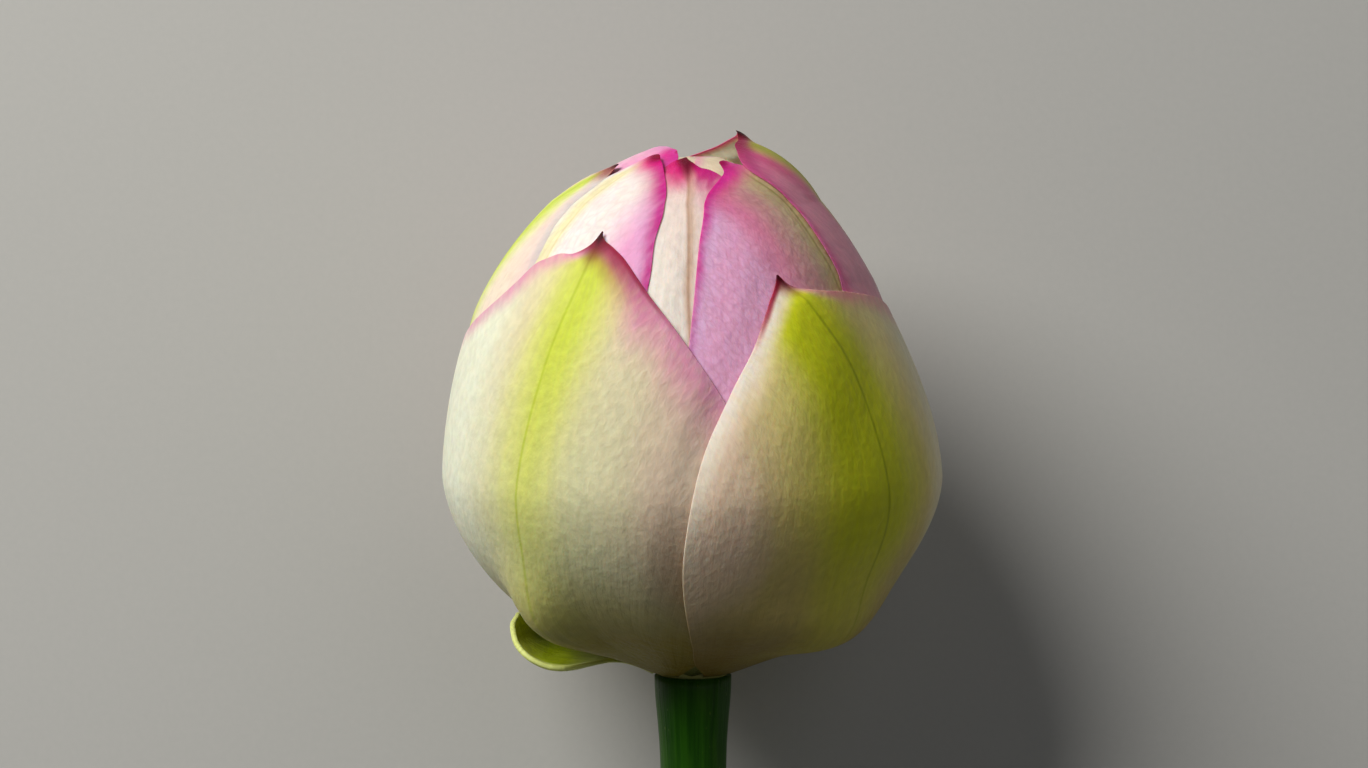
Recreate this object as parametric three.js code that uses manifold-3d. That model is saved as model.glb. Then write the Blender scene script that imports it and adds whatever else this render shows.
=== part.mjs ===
// A lotus bud on a cut stem, lying on its belly. Millimetres, +Z up, +Y from the stem to the tip.
//
// The bud is laid out round its own axis, as it grew: azimuth 0 is the side that faces up when it
// lies down, positive azimuths turn to the right (+X), and heights are measured from the base of the
// bud. Petals are sheets in the skin of the bud. Each has an outline of three lines (left margin,
// midrib, right margin) given by [azimuth, height] points, and it lies one layer below every petal
// that covers it. LAY turns the upright bud on to its back, and the petal underneath is pressed flat
// where it rests.

import * as THREE from "three";
import { mergeVertices } from "three/addons/utils/BufferGeometryUtils.js";
import Module from "manifold-3d";

// ---- Driving dimensions ---------------------------------------------------------------------

// The bud's skin: a solid of revolution, fuller at the base of the two front petals.
const BUD_RADIUS = 37.5;
const BUD_HEIGHT = 81.8;
const WIDEST_HEIGHT = 30.9;
const BOTTOM_POWER = 1.74;          // roundness below the widest height; 2 is an ellipse
const TOP_POWER = 1.6;              // the same above it
const NECK_DROP = 2.7;              // the base curves down to the stem by this much
const NECK_SPREAD = 11;
const NECK_LEVEL = { from: 6, width: 8 };   // layers are stacked straight down inside these radii
const LEAN = { shift: -1.7, height: 59, spread: 18 };      // the flank bulges to the left
const TOP_SHIFT = { shift: 0.29, from: 72, limit: 12 };    // the tip leans right, per mm of height
const CHEEKS = [
  { out: 3.8, azimuth: -50, width: 10, height: 12.5, spread: 6.0 },
  { out: 4.1, azimuth: 49, width: 28, height: 11.0, spread: 4.4 },
];

// Petals.
const PETAL_THICKNESS = 0.65;
const LAYER_PITCH = 1.4;            // a petal and the air below it
const COVER_RIM = { share: 0.08, least: 0.4, most: 3 };    // full cover round an outline, by radius
const COVER_FADE = { share: 0.3, least: 1.5, most: 10 };   // and how far it fades out beyond that
const OUTER_GRID = { rows: 14, columns: 12 };
const HEART_GRID = { rows: 10, columns: 6 };
const TUCK = { depth: 6, from: 50, full: 75 };   // the core closes deeper below the open tip
const HEART_SINK = 2.5;                          // the innermost petals stand a little free

// How the flower lies.
const TILT = 11.5;                  // degrees from the surface up to the bud's axis
const PRESSED = 1.3;                // how far the belly is pressed flat

// Inside the bud.
const NECK_RADIUS = 5.3;            // the receptacle below its cone, which carries all petals
const SEAT_GAP = 0.35;
const CONE = { bottom: 14.8, top: 28.5, radius: 9.2, rim: 1.2 };
const CARPEL = { radius: 1.15, sink: 0.14, rings: [[0, 1], [3.4, 6], [6.7, 10]] };   // [ring, count]
const COLLAR = { bottom: 12.7, top: 14.5, radius: 8.0, bevel: 0.6 };
const STAMEN = {
  count: 36, sides: 3, steps: 2, radius: 0.42, ring: 6.9, sink: 0.8,
  shortest: 15, longest: 20, leastLean: 3.2, mostLean: 6.0,
};
const ANTHER = { length: 6, sink: 0.8, radius: 0.68, tip: 0.4, sides: 4 };
const ROUND_SIDES = 28;

// The stem.
const STEM_RADIUS = 5.3;
const STEM_TOP = 0.55;              // height where it meets the receptacle
const STEM_FLARE = { radius: 5.85, waist: 5.6, waistHeight: -5, foot: 4.8, footHeight: -14 };
const STEM_LENGTH = 125;
const STEM_BEND = { side: 4.5, nearSide: 2.5, grip: 50 };   // sideways shift of the cut end
const STEM_PRESSED = 0.25;          // how far the rim of the cut end is pressed flat
const STEM_SIDES = 18;
const STEM_STEPS = 12;
const CANAL = { count: 7, radius: 1.0, ring: 3.1, depth: 9, outside: 2, sides: 8 };
const SURFACE = { size: 80, depth: 20 };   // the block that the cut end is pressed against

// The small sepal that still hangs below the bud, bent away from it.
const SEPAL = {
  azimuth: -88,
  spine: [[6.25, 0.4], [11, 2.5], [17, 4.0], [22, 5.1], [25.2, 7.3], [25.8, 10.2]],   // [out, height]
  halfWidths: [2.4, 5.0, 10.6, 12.4, 10.2, 0],
  unrolled: 0.15,                     // share of its length, from the stem, that is still flat
  cup: 1.2,                           // how far both margins rise
  roll: 2.0,                          // how far the near margin hangs lower
  thickness: 0.8,
  rows: 9,
  columns: 8,
};

const SEED = 11;

// ---- Outlines ---------------------------------------------------------------------------------
// From the outermost petal to the innermost. base gives the azimuths of the three lines where they
// leave the receptacle.

const leaningTip = (from, to, share) => from + (to - from) * share;

function hiddenPetal(name, azimuth, halfWidth, height, tipAzimuth, baseHalf, inner = {}) {
  const side = (sign) => [
    [azimuth + sign * halfWidth * 0.72, height * 0.12],
    [azimuth + sign * halfWidth, height * 0.43],
    [leaningTip(azimuth, tipAzimuth, 0.35) + sign * halfWidth * 0.88, height * 0.72],
    [leaningTip(azimuth, tipAzimuth, 0.8) + sign * halfWidth * 0.42, height * 0.93],
    [tipAzimuth, height],
  ];
  const mid = [
    [azimuth, height * 0.25],
    [leaningTip(azimuth, tipAzimuth, 0.1), height * 0.5],
    [leaningTip(azimuth, tipAzimuth, 0.45), height * 0.75],
    [tipAzimuth, height],
  ];
  const base = [azimuth - baseHalf, azimuth, azimuth + baseHalf];
  return { name, base, left: side(-1), mid, right: side(1), ...inner };
}

/** A petal that stays broad to its tip, so that three of them close the bud over the stamens. */
function closingPetal(name, azimuth, halfWidth, height, baseHalf) {
  const side = (sign) => [
    [azimuth + sign * halfWidth * 0.7, height * 0.12],
    [azimuth + sign * halfWidth, height * 0.45],
    [azimuth + sign * halfWidth, height * 0.8],
    [azimuth + sign * halfWidth * 0.94, height * 0.95],
    [azimuth + sign * halfWidth * 0.8, height * 0.988],
    [azimuth, height],
  ];
  const mid = [0.25, 0.5, 0.75, 1].map((share) => [azimuth, height * share]);
  const base = [azimuth - baseHalf, azimuth, azimuth + baseHalf];
  return { name, base, left: side(-1), mid, right: side(1), tucked: true };
}

const heart = { grid: HEART_GRID, tucked: true, sink: HEART_SINK };

const PETALS = [
  {
    name: "petal_front_right", base: [6, 50, 92], cheeks: true,
    left: [[0, 7], [-2.5, 17], [-1, 27], [3, 37], [11, 46], [20, 53.5], [28.5, 61.2]],
    mid: [[52, 12], [50.5, 23.5], [47, 36], [44, 49], [35, 58], [28.5, 61.2]],
    right: [[106, 12], [116, 26], [114, 42], [98, 54], [72, 58.6], [40, 58.9], [28.5, 61.2]],
  },
  {
    name: "petal_front_left", base: [-92, -48, -6], cheeks: true,
    left: [[-108, 12], [-118, 26], [-112, 40], [-92, 50], [-66, 57], [-54, 63.2], [-40, 64.3], [-30, 67.5]],
    mid: [[-48, 12], [-44, 24], [-41, 37], [-36.5, 48.5], [-31, 60], [-30, 67.5]],
    right: [[8, 10], [16, 22], [16, 33], [9, 44], [-1, 53.7], [-14, 61.6], [-30, 67.5]],
  },
  hiddenPetal("petal_under", 180, 72, 64, 180, 38),
  {
    name: "petal_left", base: [-128, -94, -62],
    left: [[-142, 14], [-150, 32], [-146, 50], [-132, 66], [-112, 74], [-92, 78.3]],
    mid: [[-95, 14], [-94, 32], [-92, 50], [-90, 66], [-92, 78.3]],
    right: [[-44, 14], [-38, 32], [-46, 50], [-56, 64], [-57, 72], [-70, 76.8], [-92, 78.3]],
  },
  {
    name: "petal_right", base: [72, 104, 138],
    left: [[50, 14], [42, 32], [48, 50], [56, 64], [50, 71], [42, 75.5], [60, 79.6], [84, 81.3]],
    mid: [[106, 14], [108, 32], [108, 50], [106, 66], [98, 76], [84, 81.3]],
    right: [[158, 14], [170, 32], [180, 50], [190, 66], [190, 76], [166, 79.1], [146, 80.5], [84, 81.3]],
  },
  hiddenPetal("petal_back", 178, 58, 78, 190, 34),
  {
    name: "petal_inner_left", base: [-84, -52, -24],
    left: [[-100, 16], [-106, 34], [-100, 52], [-88, 66], [-66, 76], [-24, 79.4]],
    mid: [[-52, 16], [-52, 34], [-52, 50], [-51, 64], [-44, 74], [-24, 79.4]],
    right: [[-8, 16], [-4, 34], [-7, 50], [-10.5, 62], [-10.5, 72], [-14, 77.2], [-24, 79.4]],
  },
  {
    name: "petal_inner_right", base: [22, 50, 80],
    left: [[6, 16], [0, 34], [0, 50], [3, 64], [6, 71.5], [12, 75.5], [16, 78.2]],
    mid: [[50, 16], [51, 34], [52, 52], [50, 66], [38, 74.5], [16, 78.2]],
    right: [[98, 16], [106, 34], [104, 50], [94, 64], [70, 74], [36, 77.8], [16, 78.2]],
  },
  hiddenPetal("petal_inner_back_left", -138, 52, 80.3, -160, 28),
  hiddenPetal("petal_inner_back_right", 128, 52, 79, 138, 28),
  {
    name: "petal_inner_front", base: [-28, 0, 28],
    left: [[-36, 16], [-40, 34], [-38, 50], [-34, 64], [-26, 74], [-3, 79]],
    mid: [[0, 16], [0, 34], [1, 50], [1, 64], [-1, 74], [-3, 79]],
    right: [[36, 16], [40, 34], [38, 50], [34, 64], [24, 74], [-3, 79]],
  },
  closingPetal("petal_core_right", 62, 68, 81.7, 26),
  closingPetal("petal_core_left", -62, 68, 81.7, 26),
  closingPetal("petal_core_back", 180, 68, 81.7, 26),
  hiddenPetal("petal_heart_front", 28, 44, 64, 28, 24, heart),
  hiddenPetal("petal_heart_left", -92, 44, 63, -92, 24, heart),
  hiddenPetal("petal_heart_back", 150, 44, 62, 150, 24, heart),
];

// ---- The bud's skin ---------------------------------------------------------------------------

const smooth = (x) => THREE.MathUtils.smoothstep(x, 0, 1);
const radians = THREE.MathUtils.degToRad;
const bell = (x, spread) => Math.exp(-((x / spread) ** 2));

/** Linear interpolation in a table whose keys grow. */
function lookUp(keys, values, key) {
  let low = 0;
  let high = keys.length - 1;
  while (high - low > 1) {
    const half = (low + high) >> 1;
    if (keys[half] <= key) low = half;
    else high = half;
  }
  const share = THREE.MathUtils.clamp((key - keys[low]) / (keys[high] - keys[low]), 0, 1);
  return values[low] + (values[high] - values[low]) * share;
}

/** The skin's profile as three lists: radius, height and length along it from the base. */
function budProfile(steps = 240) {
  const radii = [];
  const heights = [];
  for (let i = 0; i < steps; i++) {
    const share = Math.sin((i / steps) * Math.PI / 2);
    const fall = (WIDEST_HEIGHT - NECK_DROP) * (1 - share ** 2) ** (1 / BOTTOM_POWER);
    radii.push(BUD_RADIUS * share);
    heights.push(WIDEST_HEIGHT - fall - NECK_DROP * bell(BUD_RADIUS * share, NECK_SPREAD));
  }
  for (let i = 0; i <= steps; i++) {
    const share = Math.cos((i / steps) * Math.PI / 2);
    radii.push(BUD_RADIUS * share);
    heights.push(WIDEST_HEIGHT + (BUD_HEIGHT - WIDEST_HEIGHT) * (1 - share ** 2) ** (1 / TOP_POWER));
  }
  const lengths = [0];
  for (let i = 1; i < radii.length; i++) {
    lengths.push(lengths[i - 1] + Math.hypot(radii[i] - radii[i - 1], heights[i] - heights[i - 1]));
  }
  return { radii, heights, lengths };
}

const PROFILE = budProfile();
const radiusAt = (length) => lookUp(PROFILE.lengths, PROFILE.radii, length);
const heightAt = (length) => lookUp(PROFILE.lengths, PROFILE.heights, length);
const lengthAt = (height) => lookUp(PROFILE.heights, PROFILE.lengths, height);
const BASE_LENGTH = NECK_RADIUS + SEAT_GAP + 0.05;       // the neck of the profile is nearly level

/** The skin's outward normal in the plane of the axis: [outward, upward]. Level at the neck. */
function normalAt(length) {
  const step = 0.4;
  const out = heightAt(length + step) - heightAt(length - step);
  const up = radiusAt(length - step) - radiusAt(length + step);
  const size = Math.hypot(out, up);
  const level = smooth((radiusAt(length) - NECK_LEVEL.from) / NECK_LEVEL.width);
  return [(out / size) * level, up / size];
}

/** How far the front petals' full cheeks stand out of the profile. */
function cheekAt(azimuth, height) {
  let out = 0;
  for (const cheek of CHEEKS) {
    out += cheek.out * bell(azimuth - cheek.azimuth, cheek.width) * bell(height - cheek.height, cheek.spread);
  }
  return out;
}

/** The point of the upright bud at an azimuth and a length along the profile, depth below the skin. */
function uprightPoint(azimuth, length, depth) {
  const [out, up] = normalAt(length);
  const radius = radiusAt(length) - out * depth;
  const height = heightAt(length) - up * depth;
  const lean = LEAN.shift * bell(height - LEAN.height, LEAN.spread);
  const top = TOP_SHIFT.shift * THREE.MathUtils.clamp(height - TOP_SHIFT.from, 0, TOP_SHIFT.limit);
  const turn = radians(azimuth);
  return new THREE.Vector3(radius * Math.sin(turn) + lean + top, -radius * Math.cos(turn), height);
}

// ---- Lying down -------------------------------------------------------------------------------

/** Turns the upright bud on to its back, with the middle of its pressed belly at the origin. */
function layingMatrix() {
  const turn = new THREE.Matrix4().makeRotationX(-radians(90 - TILT));
  let lowest = new THREE.Vector3(0, 0, Infinity);
  for (let length = 0; length < PROFILE.lengths.at(-1); length += 0.1) {
    const point = uprightPoint(180, length, 0).applyMatrix4(turn);
    if (point.z < lowest.z) lowest = point;
  }
  const move = new THREE.Matrix4().makeTranslation(0, -lowest.y, -lowest.z - PRESSED);
  return move.multiply(turn);
}

const LAY = layingMatrix();

/** A point of the lying bud. What the surface presses in moves up, with the layers above it. */
function skinPoint(azimuth, length, depth) {
  const skin = uprightPoint(azimuth, length, 0).applyMatrix4(LAY);
  const pressed = Math.max(0, -skin.z);
  const point = depth === 0 ? skin : uprightPoint(azimuth, length, depth).applyMatrix4(LAY);
  point.z += pressed;
  return point;
}

// ---- Petals -----------------------------------------------------------------------------------

/** A smooth line through [azimuth, height] points, as [azimuth, length] at even steps along it. */
function skinLine(baseAzimuth, points, count) {
  const knots = points.map(([azimuth, height]) => new THREE.Vector2(azimuth, lengthAt(height)));
  const spline = new THREE.SplineCurve([new THREE.Vector2(baseAzimuth, BASE_LENGTH), ...knots]);
  const fine = spline.getPoints(400);
  const along = [0];
  for (let i = 1; i < fine.length; i++) {
    const across = radians(fine[i].x - fine[i - 1].x) * radiusAt((fine[i].y + fine[i - 1].y) / 2);
    along.push(along[i - 1] + Math.hypot(across, fine[i].y - fine[i - 1].y));
  }
  const azimuths = fine.map((point) => point.x);
  const lengths = fine.map((point) => point.y);
  return Array.from({ length: count + 1 }, (_, i) => {
    const target = along.at(-1) * i / count;
    return [lookUp(along, azimuths, target), lookUp(along, lengths, target)];
  });
}

const petalLines = (petal, count) =>
  ["left", "mid", "right"].map((side, i) => skinLine(petal.base[i], petal[side], count));

/** The sinusoidal map round a petal's own middle, in which its outline is drawn. */
function mapRound(azimuth, length, middle) {
  const turn = THREE.MathUtils.euclideanModulo(azimuth - middle + 180, 360) - 180;
  return [radians(turn) * radiusAt(length), length];
}

function petalOutline(petal) {
  const [left, , right] = petalLines(petal, 24);
  const middle = petal.mid[2][0];
  const corners = [...left, ...right.slice(0, -1).reverse()];
  return { middle, corners: corners.map(([azimuth, length]) => mapRound(azimuth, length, middle)) };
}

/** How far a point of the map lies outside a polygon, 0 inside it. */
function distanceOutside(corners, x, y) {
  let nearest = Infinity;
  let inside = false;
  corners.forEach(([ax, ay], i) => {
    const [bx, by] = corners[(i + 1) % corners.length];
    const [ex, ey] = [bx - ax, by - ay];
    const size = ex * ex + ey * ey || 1;
    const share = THREE.MathUtils.clamp(((x - ax) * ex + (y - ay) * ey) / size, 0, 1);
    nearest = Math.min(nearest, Math.hypot(x - ax - share * ex, y - ay - share * ey));
    if (ay > y !== by > y && x < ax + (y - ay) * ex / ey) inside = !inside;
  });
  return inside ? 0 : nearest;
}

/** 1 where a petal covers the skin, fading to 0 outside it. */
function coverAt(outline, azimuth, length) {
  const [x, y] = mapRound(azimuth, length, outline.middle);
  const radius = radiusAt(length);
  const [rim, fade] = [COVER_RIM, COVER_FADE].map(({ share, least, most }) =>
    THREE.MathUtils.clamp(share * radius, least, most));
  return smooth(1 - (distanceOutside(outline.corners, x, y) - rim) / fade);
}

/**
 * A closed blade from two faces, each a function of u (-1 left to 1 right) and v (0 base to 1 tip).
 * Both faces are split into triangles alike and meet in a rim. The tip is one edge.
 */
function bladeGeometry(rows, columns, outerFace, innerFace) {
  const vertices = [];
  const triangles = [];
  const faceSize = rows * (columns + 1) + 1;
  for (const face of [outerFace, innerFace]) {
    for (let row = 0; row < rows; row++) {
      for (let column = 0; column <= columns; column++) {
        vertices.push(...face(2 * column / columns - 1, row / rows).toArray());
      }
    }
    vertices.push(...face(0, 1).toArray());
  }
  const at = (face, row, column) =>
    face * faceSize + (row === rows ? faceSize - 1 : row * (columns + 1) + column);
  const quad = (a, b, c, d) => {
    if (a !== b) triangles.push(a, b, c);
    if (c !== d) triangles.push(a, c, d);
  };
  for (let row = 0; row < rows; row++) {
    for (let column = 0; column < columns; column++) {
      const ring = (face) => [
        at(face, row, column), at(face, row, column + 1),
        at(face, row + 1, column + 1), at(face, row + 1, column),
      ];
      const [a, b, c, d] = ring(0);
      const [e, f, g, h] = ring(1);
      triangles.push(a, b, c, e, g, f);
      if (row + 1 < rows) triangles.push(a, c, d, e, h, g);
    }
    quad(at(0, row + 1, 0), at(1, row + 1, 0), at(1, row, 0), at(0, row, 0));
    quad(at(0, row, columns), at(1, row, columns), at(1, row + 1, columns), at(0, row + 1, columns));
  }
  for (let column = 0; column < columns; column++) {
    quad(at(0, 0, column), at(1, 0, column), at(1, 0, column + 1), at(0, 0, column + 1));
  }
  const geometry = new THREE.BufferGeometry();
  geometry.setAttribute("position", new THREE.Float32BufferAttribute(vertices, 3));
  geometry.setIndex(triangles);
  return geometry;
}

function petalGeometry(petal, outerOutlines) {
  const { rows, columns } = petal.grid ?? OUTER_GRID;
  const lines = petalLines(petal, rows);
  const face = (below) => (u, v) => {
    const [left, mid, right] = lines.map((line) => line[Math.round(v * rows)]);
    const [azimuth, length] = [0, 1].map((k) =>
      mid[k] + u * (right[k] - left[k]) / 2 + u * u * ((right[k] + left[k]) / 2 - mid[k]));
    let depth = petal.sink ?? 0;
    for (const outline of outerOutlines) depth += LAYER_PITCH * coverAt(outline, azimuth, length);
    if (petal.cheeks) depth -= cheekAt(azimuth, heightAt(length));
    if (petal.tucked) {
      depth += TUCK.depth * THREE.MathUtils.smoothstep(heightAt(length), TUCK.from, TUCK.full);
    }
    return skinPoint(azimuth, length, depth + below);
  };
  return bladeGeometry(rows, columns, face(0), face(PETAL_THICKNESS));
}

function sepalGeometry() {
  const spine = new THREE.SplineCurve(SEPAL.spine.map(([out, height]) => new THREE.Vector2(out, height)));
  const widths = new THREE.SplineCurve(SEPAL.halfWidths.map((width, i) => new THREE.Vector2(i, width)));
  const turn = new THREE.Matrix4().makeRotationZ(radians(SEPAL.azimuth));
  const face = (below) => (u, v) => {
    const { x: out, y: height } = spine.getPoint(v);
    const tangent = spine.getTangent(v);
    const halfWidth = widths.getPoint(v).y;
    const open = smooth(2.2 * (v - SEPAL.unrolled)) * smooth(halfWidth / 5);
    const across = u * halfWidth;
    const lift = (SEPAL.cup * u * u - SEPAL.roll * u) * open - below;
    const point = new THREE.Vector3(across, -(out - tangent.y * lift), height + tangent.x * lift);
    return point.applyMatrix4(turn).applyMatrix4(LAY);
  };
  return bladeGeometry(SEPAL.rows, SEPAL.columns, face(SEPAL.thickness), face(0));
}

// ---- Joining and cutting ------------------------------------------------------------------------

const wasm = await Module();
wasm.setup();

function toSolid(geometry) {
  const bare = geometry.clone();
  bare.deleteAttribute("normal");
  bare.deleteAttribute("uv");
  const merged = mergeVertices(bare, 1e-4);
  const index = Array.from(merged.index.array);
  const triangles = [];
  for (let i = 0; i < index.length; i += 3) {
    const [a, b, c] = index.slice(i, i + 3);
    if (a !== b && b !== c && c !== a) triangles.push(a, b, c);
  }
  return new wasm.Manifold(new wasm.Mesh({
    numProp: 3,
    vertProperties: new Float32Array(merged.attributes.position.array),
    triVerts: new Uint32Array(triangles),
  }));
}

function toGeometry(solid) {
  const mesh = solid.getMesh();
  const geometry = new THREE.BufferGeometry();
  geometry.setAttribute("position", new THREE.BufferAttribute(new Float32Array(mesh.vertProperties), 3));
  geometry.setIndex(Array.from(mesh.triVerts));
  return geometry;
}

const fuse = (geometries) =>
  toGeometry(geometries.map(toSolid).reduce((whole, piece) => whole.add(piece)));

/** A turned form round the bud's axis, from [radius, height] points, laid down with the bud. */
function turned(points, sides) {
  const profile = points.map(([radius, height]) => new THREE.Vector2(radius, height));
  return new THREE.LatheGeometry(profile, sides).rotateX(Math.PI / 2).applyMatrix4(LAY);
}

/** A tube along a curve. */
function tube(curve, radius, sides, steps) {
  const ring = Array.from({ length: sides }, (_, i) => {
    const turn = 2 * Math.PI * i / sides;
    return new THREE.Vector2(radius * Math.cos(turn), radius * Math.sin(turn));
  });
  return new THREE.ExtrudeGeometry(new THREE.Shape(ring), { steps, extrudePath: curve });
}

/** A cylinder or cone from one point to another. */
function rod(from, to, startRadius, endRadius, sides) {
  const axis = to.clone().sub(from);
  const geometry = new THREE.CylinderGeometry(endRadius, startRadius, axis.length(), sides);
  const turn = new THREE.Quaternion().setFromUnitVectors(new THREE.Vector3(0, 1, 0), axis.normalize());
  const middle = from.clone().add(to).multiplyScalar(0.5);
  return geometry.applyQuaternion(turn).translate(...middle.toArray());
}

// ---- Receptacle, stamens and stem ---------------------------------------------------------------

function receptacleGeometry() {
  const body = turned([
    [0, STEM_TOP + SEAT_GAP], [NECK_RADIUS, STEM_TOP + SEAT_GAP], [NECK_RADIUS, CONE.bottom],
    [CONE.radius * 0.8, CONE.bottom + (CONE.top - CONE.bottom) * 0.45],
    [CONE.radius, CONE.top - CONE.rim], [CONE.radius - CONE.rim * 0.3, CONE.top],
    [0, CONE.top + CONE.rim / 2],
  ], ROUND_SIDES);
  const carpels = [];
  for (const [ring, count] of CARPEL.rings) {
    for (let i = 0; i < count; i++) {
      const turn = 2 * Math.PI * i / count;
      const height = CONE.top - CARPEL.sink;
      const carpel = new THREE.SphereGeometry(CARPEL.radius, 6, 4).rotateX(Math.PI / 2);
      carpel.translate(ring * Math.sin(turn), -ring * Math.cos(turn), height);
      carpels.push(carpel.applyMatrix4(LAY));
    }
  }
  return fuse([body, ...carpels]);
}

/** A repeatable random number source, 0 to 1. */
function randomSource(seed) {
  let state = seed;
  return () => {
    state = (state * 1664525 + 1013904223) % 4294967296;
    return state / 4294967296;
  };
}

function stamenGeometry() {
  const random = randomSource(SEED);
  const innerRadius = NECK_RADIUS + SEAT_GAP;
  const flatRadius = COLLAR.radius - COLLAR.bevel;
  const pieces = [turned([
    [innerRadius, COLLAR.bottom], [flatRadius, COLLAR.bottom], [COLLAR.radius, COLLAR.top - COLLAR.bevel],
    [flatRadius, COLLAR.top], [innerRadius, COLLAR.top], [innerRadius, COLLAR.bottom],
  ], ROUND_SIDES)];
  const goldenAngle = Math.PI * (3 - Math.sqrt(5));
  for (let i = 0; i < STAMEN.count; i++) {
    const turn = goldenAngle * i;
    const outward = new THREE.Vector3(Math.sin(turn), -Math.cos(turn), 0);
    const place = (radius, height) => outward.clone().multiplyScalar(radius).setZ(height).applyMatrix4(LAY);
    const length = THREE.MathUtils.lerp(STAMEN.shortest, STAMEN.longest, random());
    const lean = THREE.MathUtils.lerp(STAMEN.leastLean, STAMEN.mostLean, random());
    const foot = COLLAR.top - STAMEN.sink;
    const end = place(STAMEN.ring + lean, foot + length);
    const top = place(STAMEN.ring + lean * 0.9, foot + length + ANTHER.length);
    const bow = place(STAMEN.ring + lean * 0.95, foot + length * 0.45);
    const filament = new THREE.QuadraticBezierCurve3(place(STAMEN.ring, foot), bow, end);
    pieces.push(tube(filament, STAMEN.radius, STAMEN.sides, STAMEN.steps));
    const seat = end.clone().addScaledVector(filament.getTangent(1), -ANTHER.sink);
    pieces.push(rod(seat, top, ANTHER.radius, ANTHER.tip, ANTHER.sides));
  }
  return fuse(pieces);
}

function stemGeometry() {
  const flare = turned([
    [0, STEM_FLARE.footHeight], [STEM_FLARE.foot, STEM_FLARE.footHeight],
    [STEM_FLARE.waist, STEM_FLARE.waistHeight], [STEM_FLARE.radius, STEM_TOP], [0, STEM_TOP],
  ], STEM_SIDES);
  const down = new THREE.Vector3(0, 0, -1).transformDirection(LAY);
  const start = new THREE.Vector3(0, 0, STEM_TOP - 1).applyMatrix4(LAY);
  const endHeight = STEM_RADIUS * Math.cos(radians(TILT)) - STEM_PRESSED;
  const end = start.clone().addScaledVector(down, STEM_LENGTH).setX(STEM_BEND.side).setZ(endHeight);
  const endGrip = end.clone().addScaledVector(down, -STEM_BEND.grip).setX(STEM_BEND.nearSide);
  const startGrip = start.clone().addScaledVector(down, STEM_BEND.grip);
  const path = new THREE.CubicBezierCurve3(start, startGrip, endGrip, end);
  let solid = toSolid(tube(path, STEM_RADIUS, STEM_SIDES, STEM_STEPS)).add(toSolid(flare));

  const along = path.getTangent(1);
  const side = new THREE.Vector3(1, 0, 0).addScaledVector(along, -along.x).normalize();
  const up = side.clone().cross(along);
  for (let i = 0; i < CANAL.count; i++) {
    const turn = 2 * Math.PI * (i + 0.5) / CANAL.count;
    const mouth = end.clone()
      .addScaledVector(side, CANAL.ring * Math.cos(turn))
      .addScaledVector(up, CANAL.ring * Math.sin(turn));
    const inner = mouth.clone().addScaledVector(along, -CANAL.depth);
    const outer = mouth.clone().addScaledVector(along, CANAL.outside);
    solid = solid.subtract(toSolid(rod(inner, outer, CANAL.radius, CANAL.radius, CANAL.sides)));
  }
  const surface = new THREE.BoxGeometry(SURFACE.size, SURFACE.size, SURFACE.depth);
  surface.translate(end.x, end.y, -SURFACE.depth / 2);
  return toGeometry(solid.subtract(toSolid(surface)));
}

// ---- The flower -----------------------------------------------------------------------------------

const CREAM = 0xe4dfc0;
const BLUSH = 0xeec3d6;
const SEPAL_GREEN = 0xa9bf4a;
const STEM_GREEN = 0x4f7a26;
const RECEPTACLE_YELLOW = 0xc9c764;
const STAMEN_YELLOW = 0xe9c24c;

const lotus = new THREE.Group();
lotus.name = "lotus_bud";

function add(name, geometry, color, roughness) {
  const material = new THREE.MeshStandardMaterial({ color, roughness, metalness: 0 });
  const mesh = new THREE.Mesh(geometry, material);
  mesh.name = name;
  lotus.add(mesh);
}

const outlines = PETALS.map(petalOutline);
PETALS.forEach((petal, i) => {
  const color = petal.name.includes("inner") || petal.name.includes("core") ? BLUSH : CREAM;
  add(petal.name, petalGeometry(petal, outlines.slice(0, i)), color, 0.55);
});
add("sepal", sepalGeometry(), SEPAL_GREEN, 0.5);
add("receptacle", receptacleGeometry(), RECEPTACLE_YELLOW, 0.6);
add("stamens", stamenGeometry(), STAMEN_YELLOW, 0.7);
add("stem", stemGeometry(), STEM_GREEN, 0.5);

export default lotus;
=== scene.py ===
"""A lotus bud on a cut stem, lying on its back on a pale floor.

The bud is laid out upright, as it grew, in millimetres: azimuth 0 is the side that faces up when it
lies down, heights are measured from its base. Petals are sheets in the skin of the bud, each one
layer below the petals that cover it. lay() turns the upright bud on to its back. The sizes repeat
those of the solids, apart from the petals' outlines, margins and tuck, which are finer here.
"""

import math
from functools import partialmethod

import bpy
import numpy as np
from mathutils import Matrix, Vector


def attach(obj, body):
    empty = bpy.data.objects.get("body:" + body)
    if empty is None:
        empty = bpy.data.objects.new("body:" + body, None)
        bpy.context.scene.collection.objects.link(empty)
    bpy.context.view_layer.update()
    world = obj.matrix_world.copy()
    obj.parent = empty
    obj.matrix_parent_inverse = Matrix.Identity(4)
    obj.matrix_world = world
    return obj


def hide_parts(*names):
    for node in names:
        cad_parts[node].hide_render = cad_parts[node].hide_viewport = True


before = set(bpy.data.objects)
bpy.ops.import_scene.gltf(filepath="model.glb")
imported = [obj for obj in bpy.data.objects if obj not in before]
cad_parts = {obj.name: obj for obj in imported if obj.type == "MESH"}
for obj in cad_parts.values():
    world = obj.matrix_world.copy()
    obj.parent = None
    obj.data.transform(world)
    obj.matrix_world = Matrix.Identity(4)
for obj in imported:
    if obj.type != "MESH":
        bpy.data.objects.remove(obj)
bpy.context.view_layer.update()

MM = 0.001

# ---- The bud's skin ----

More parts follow.
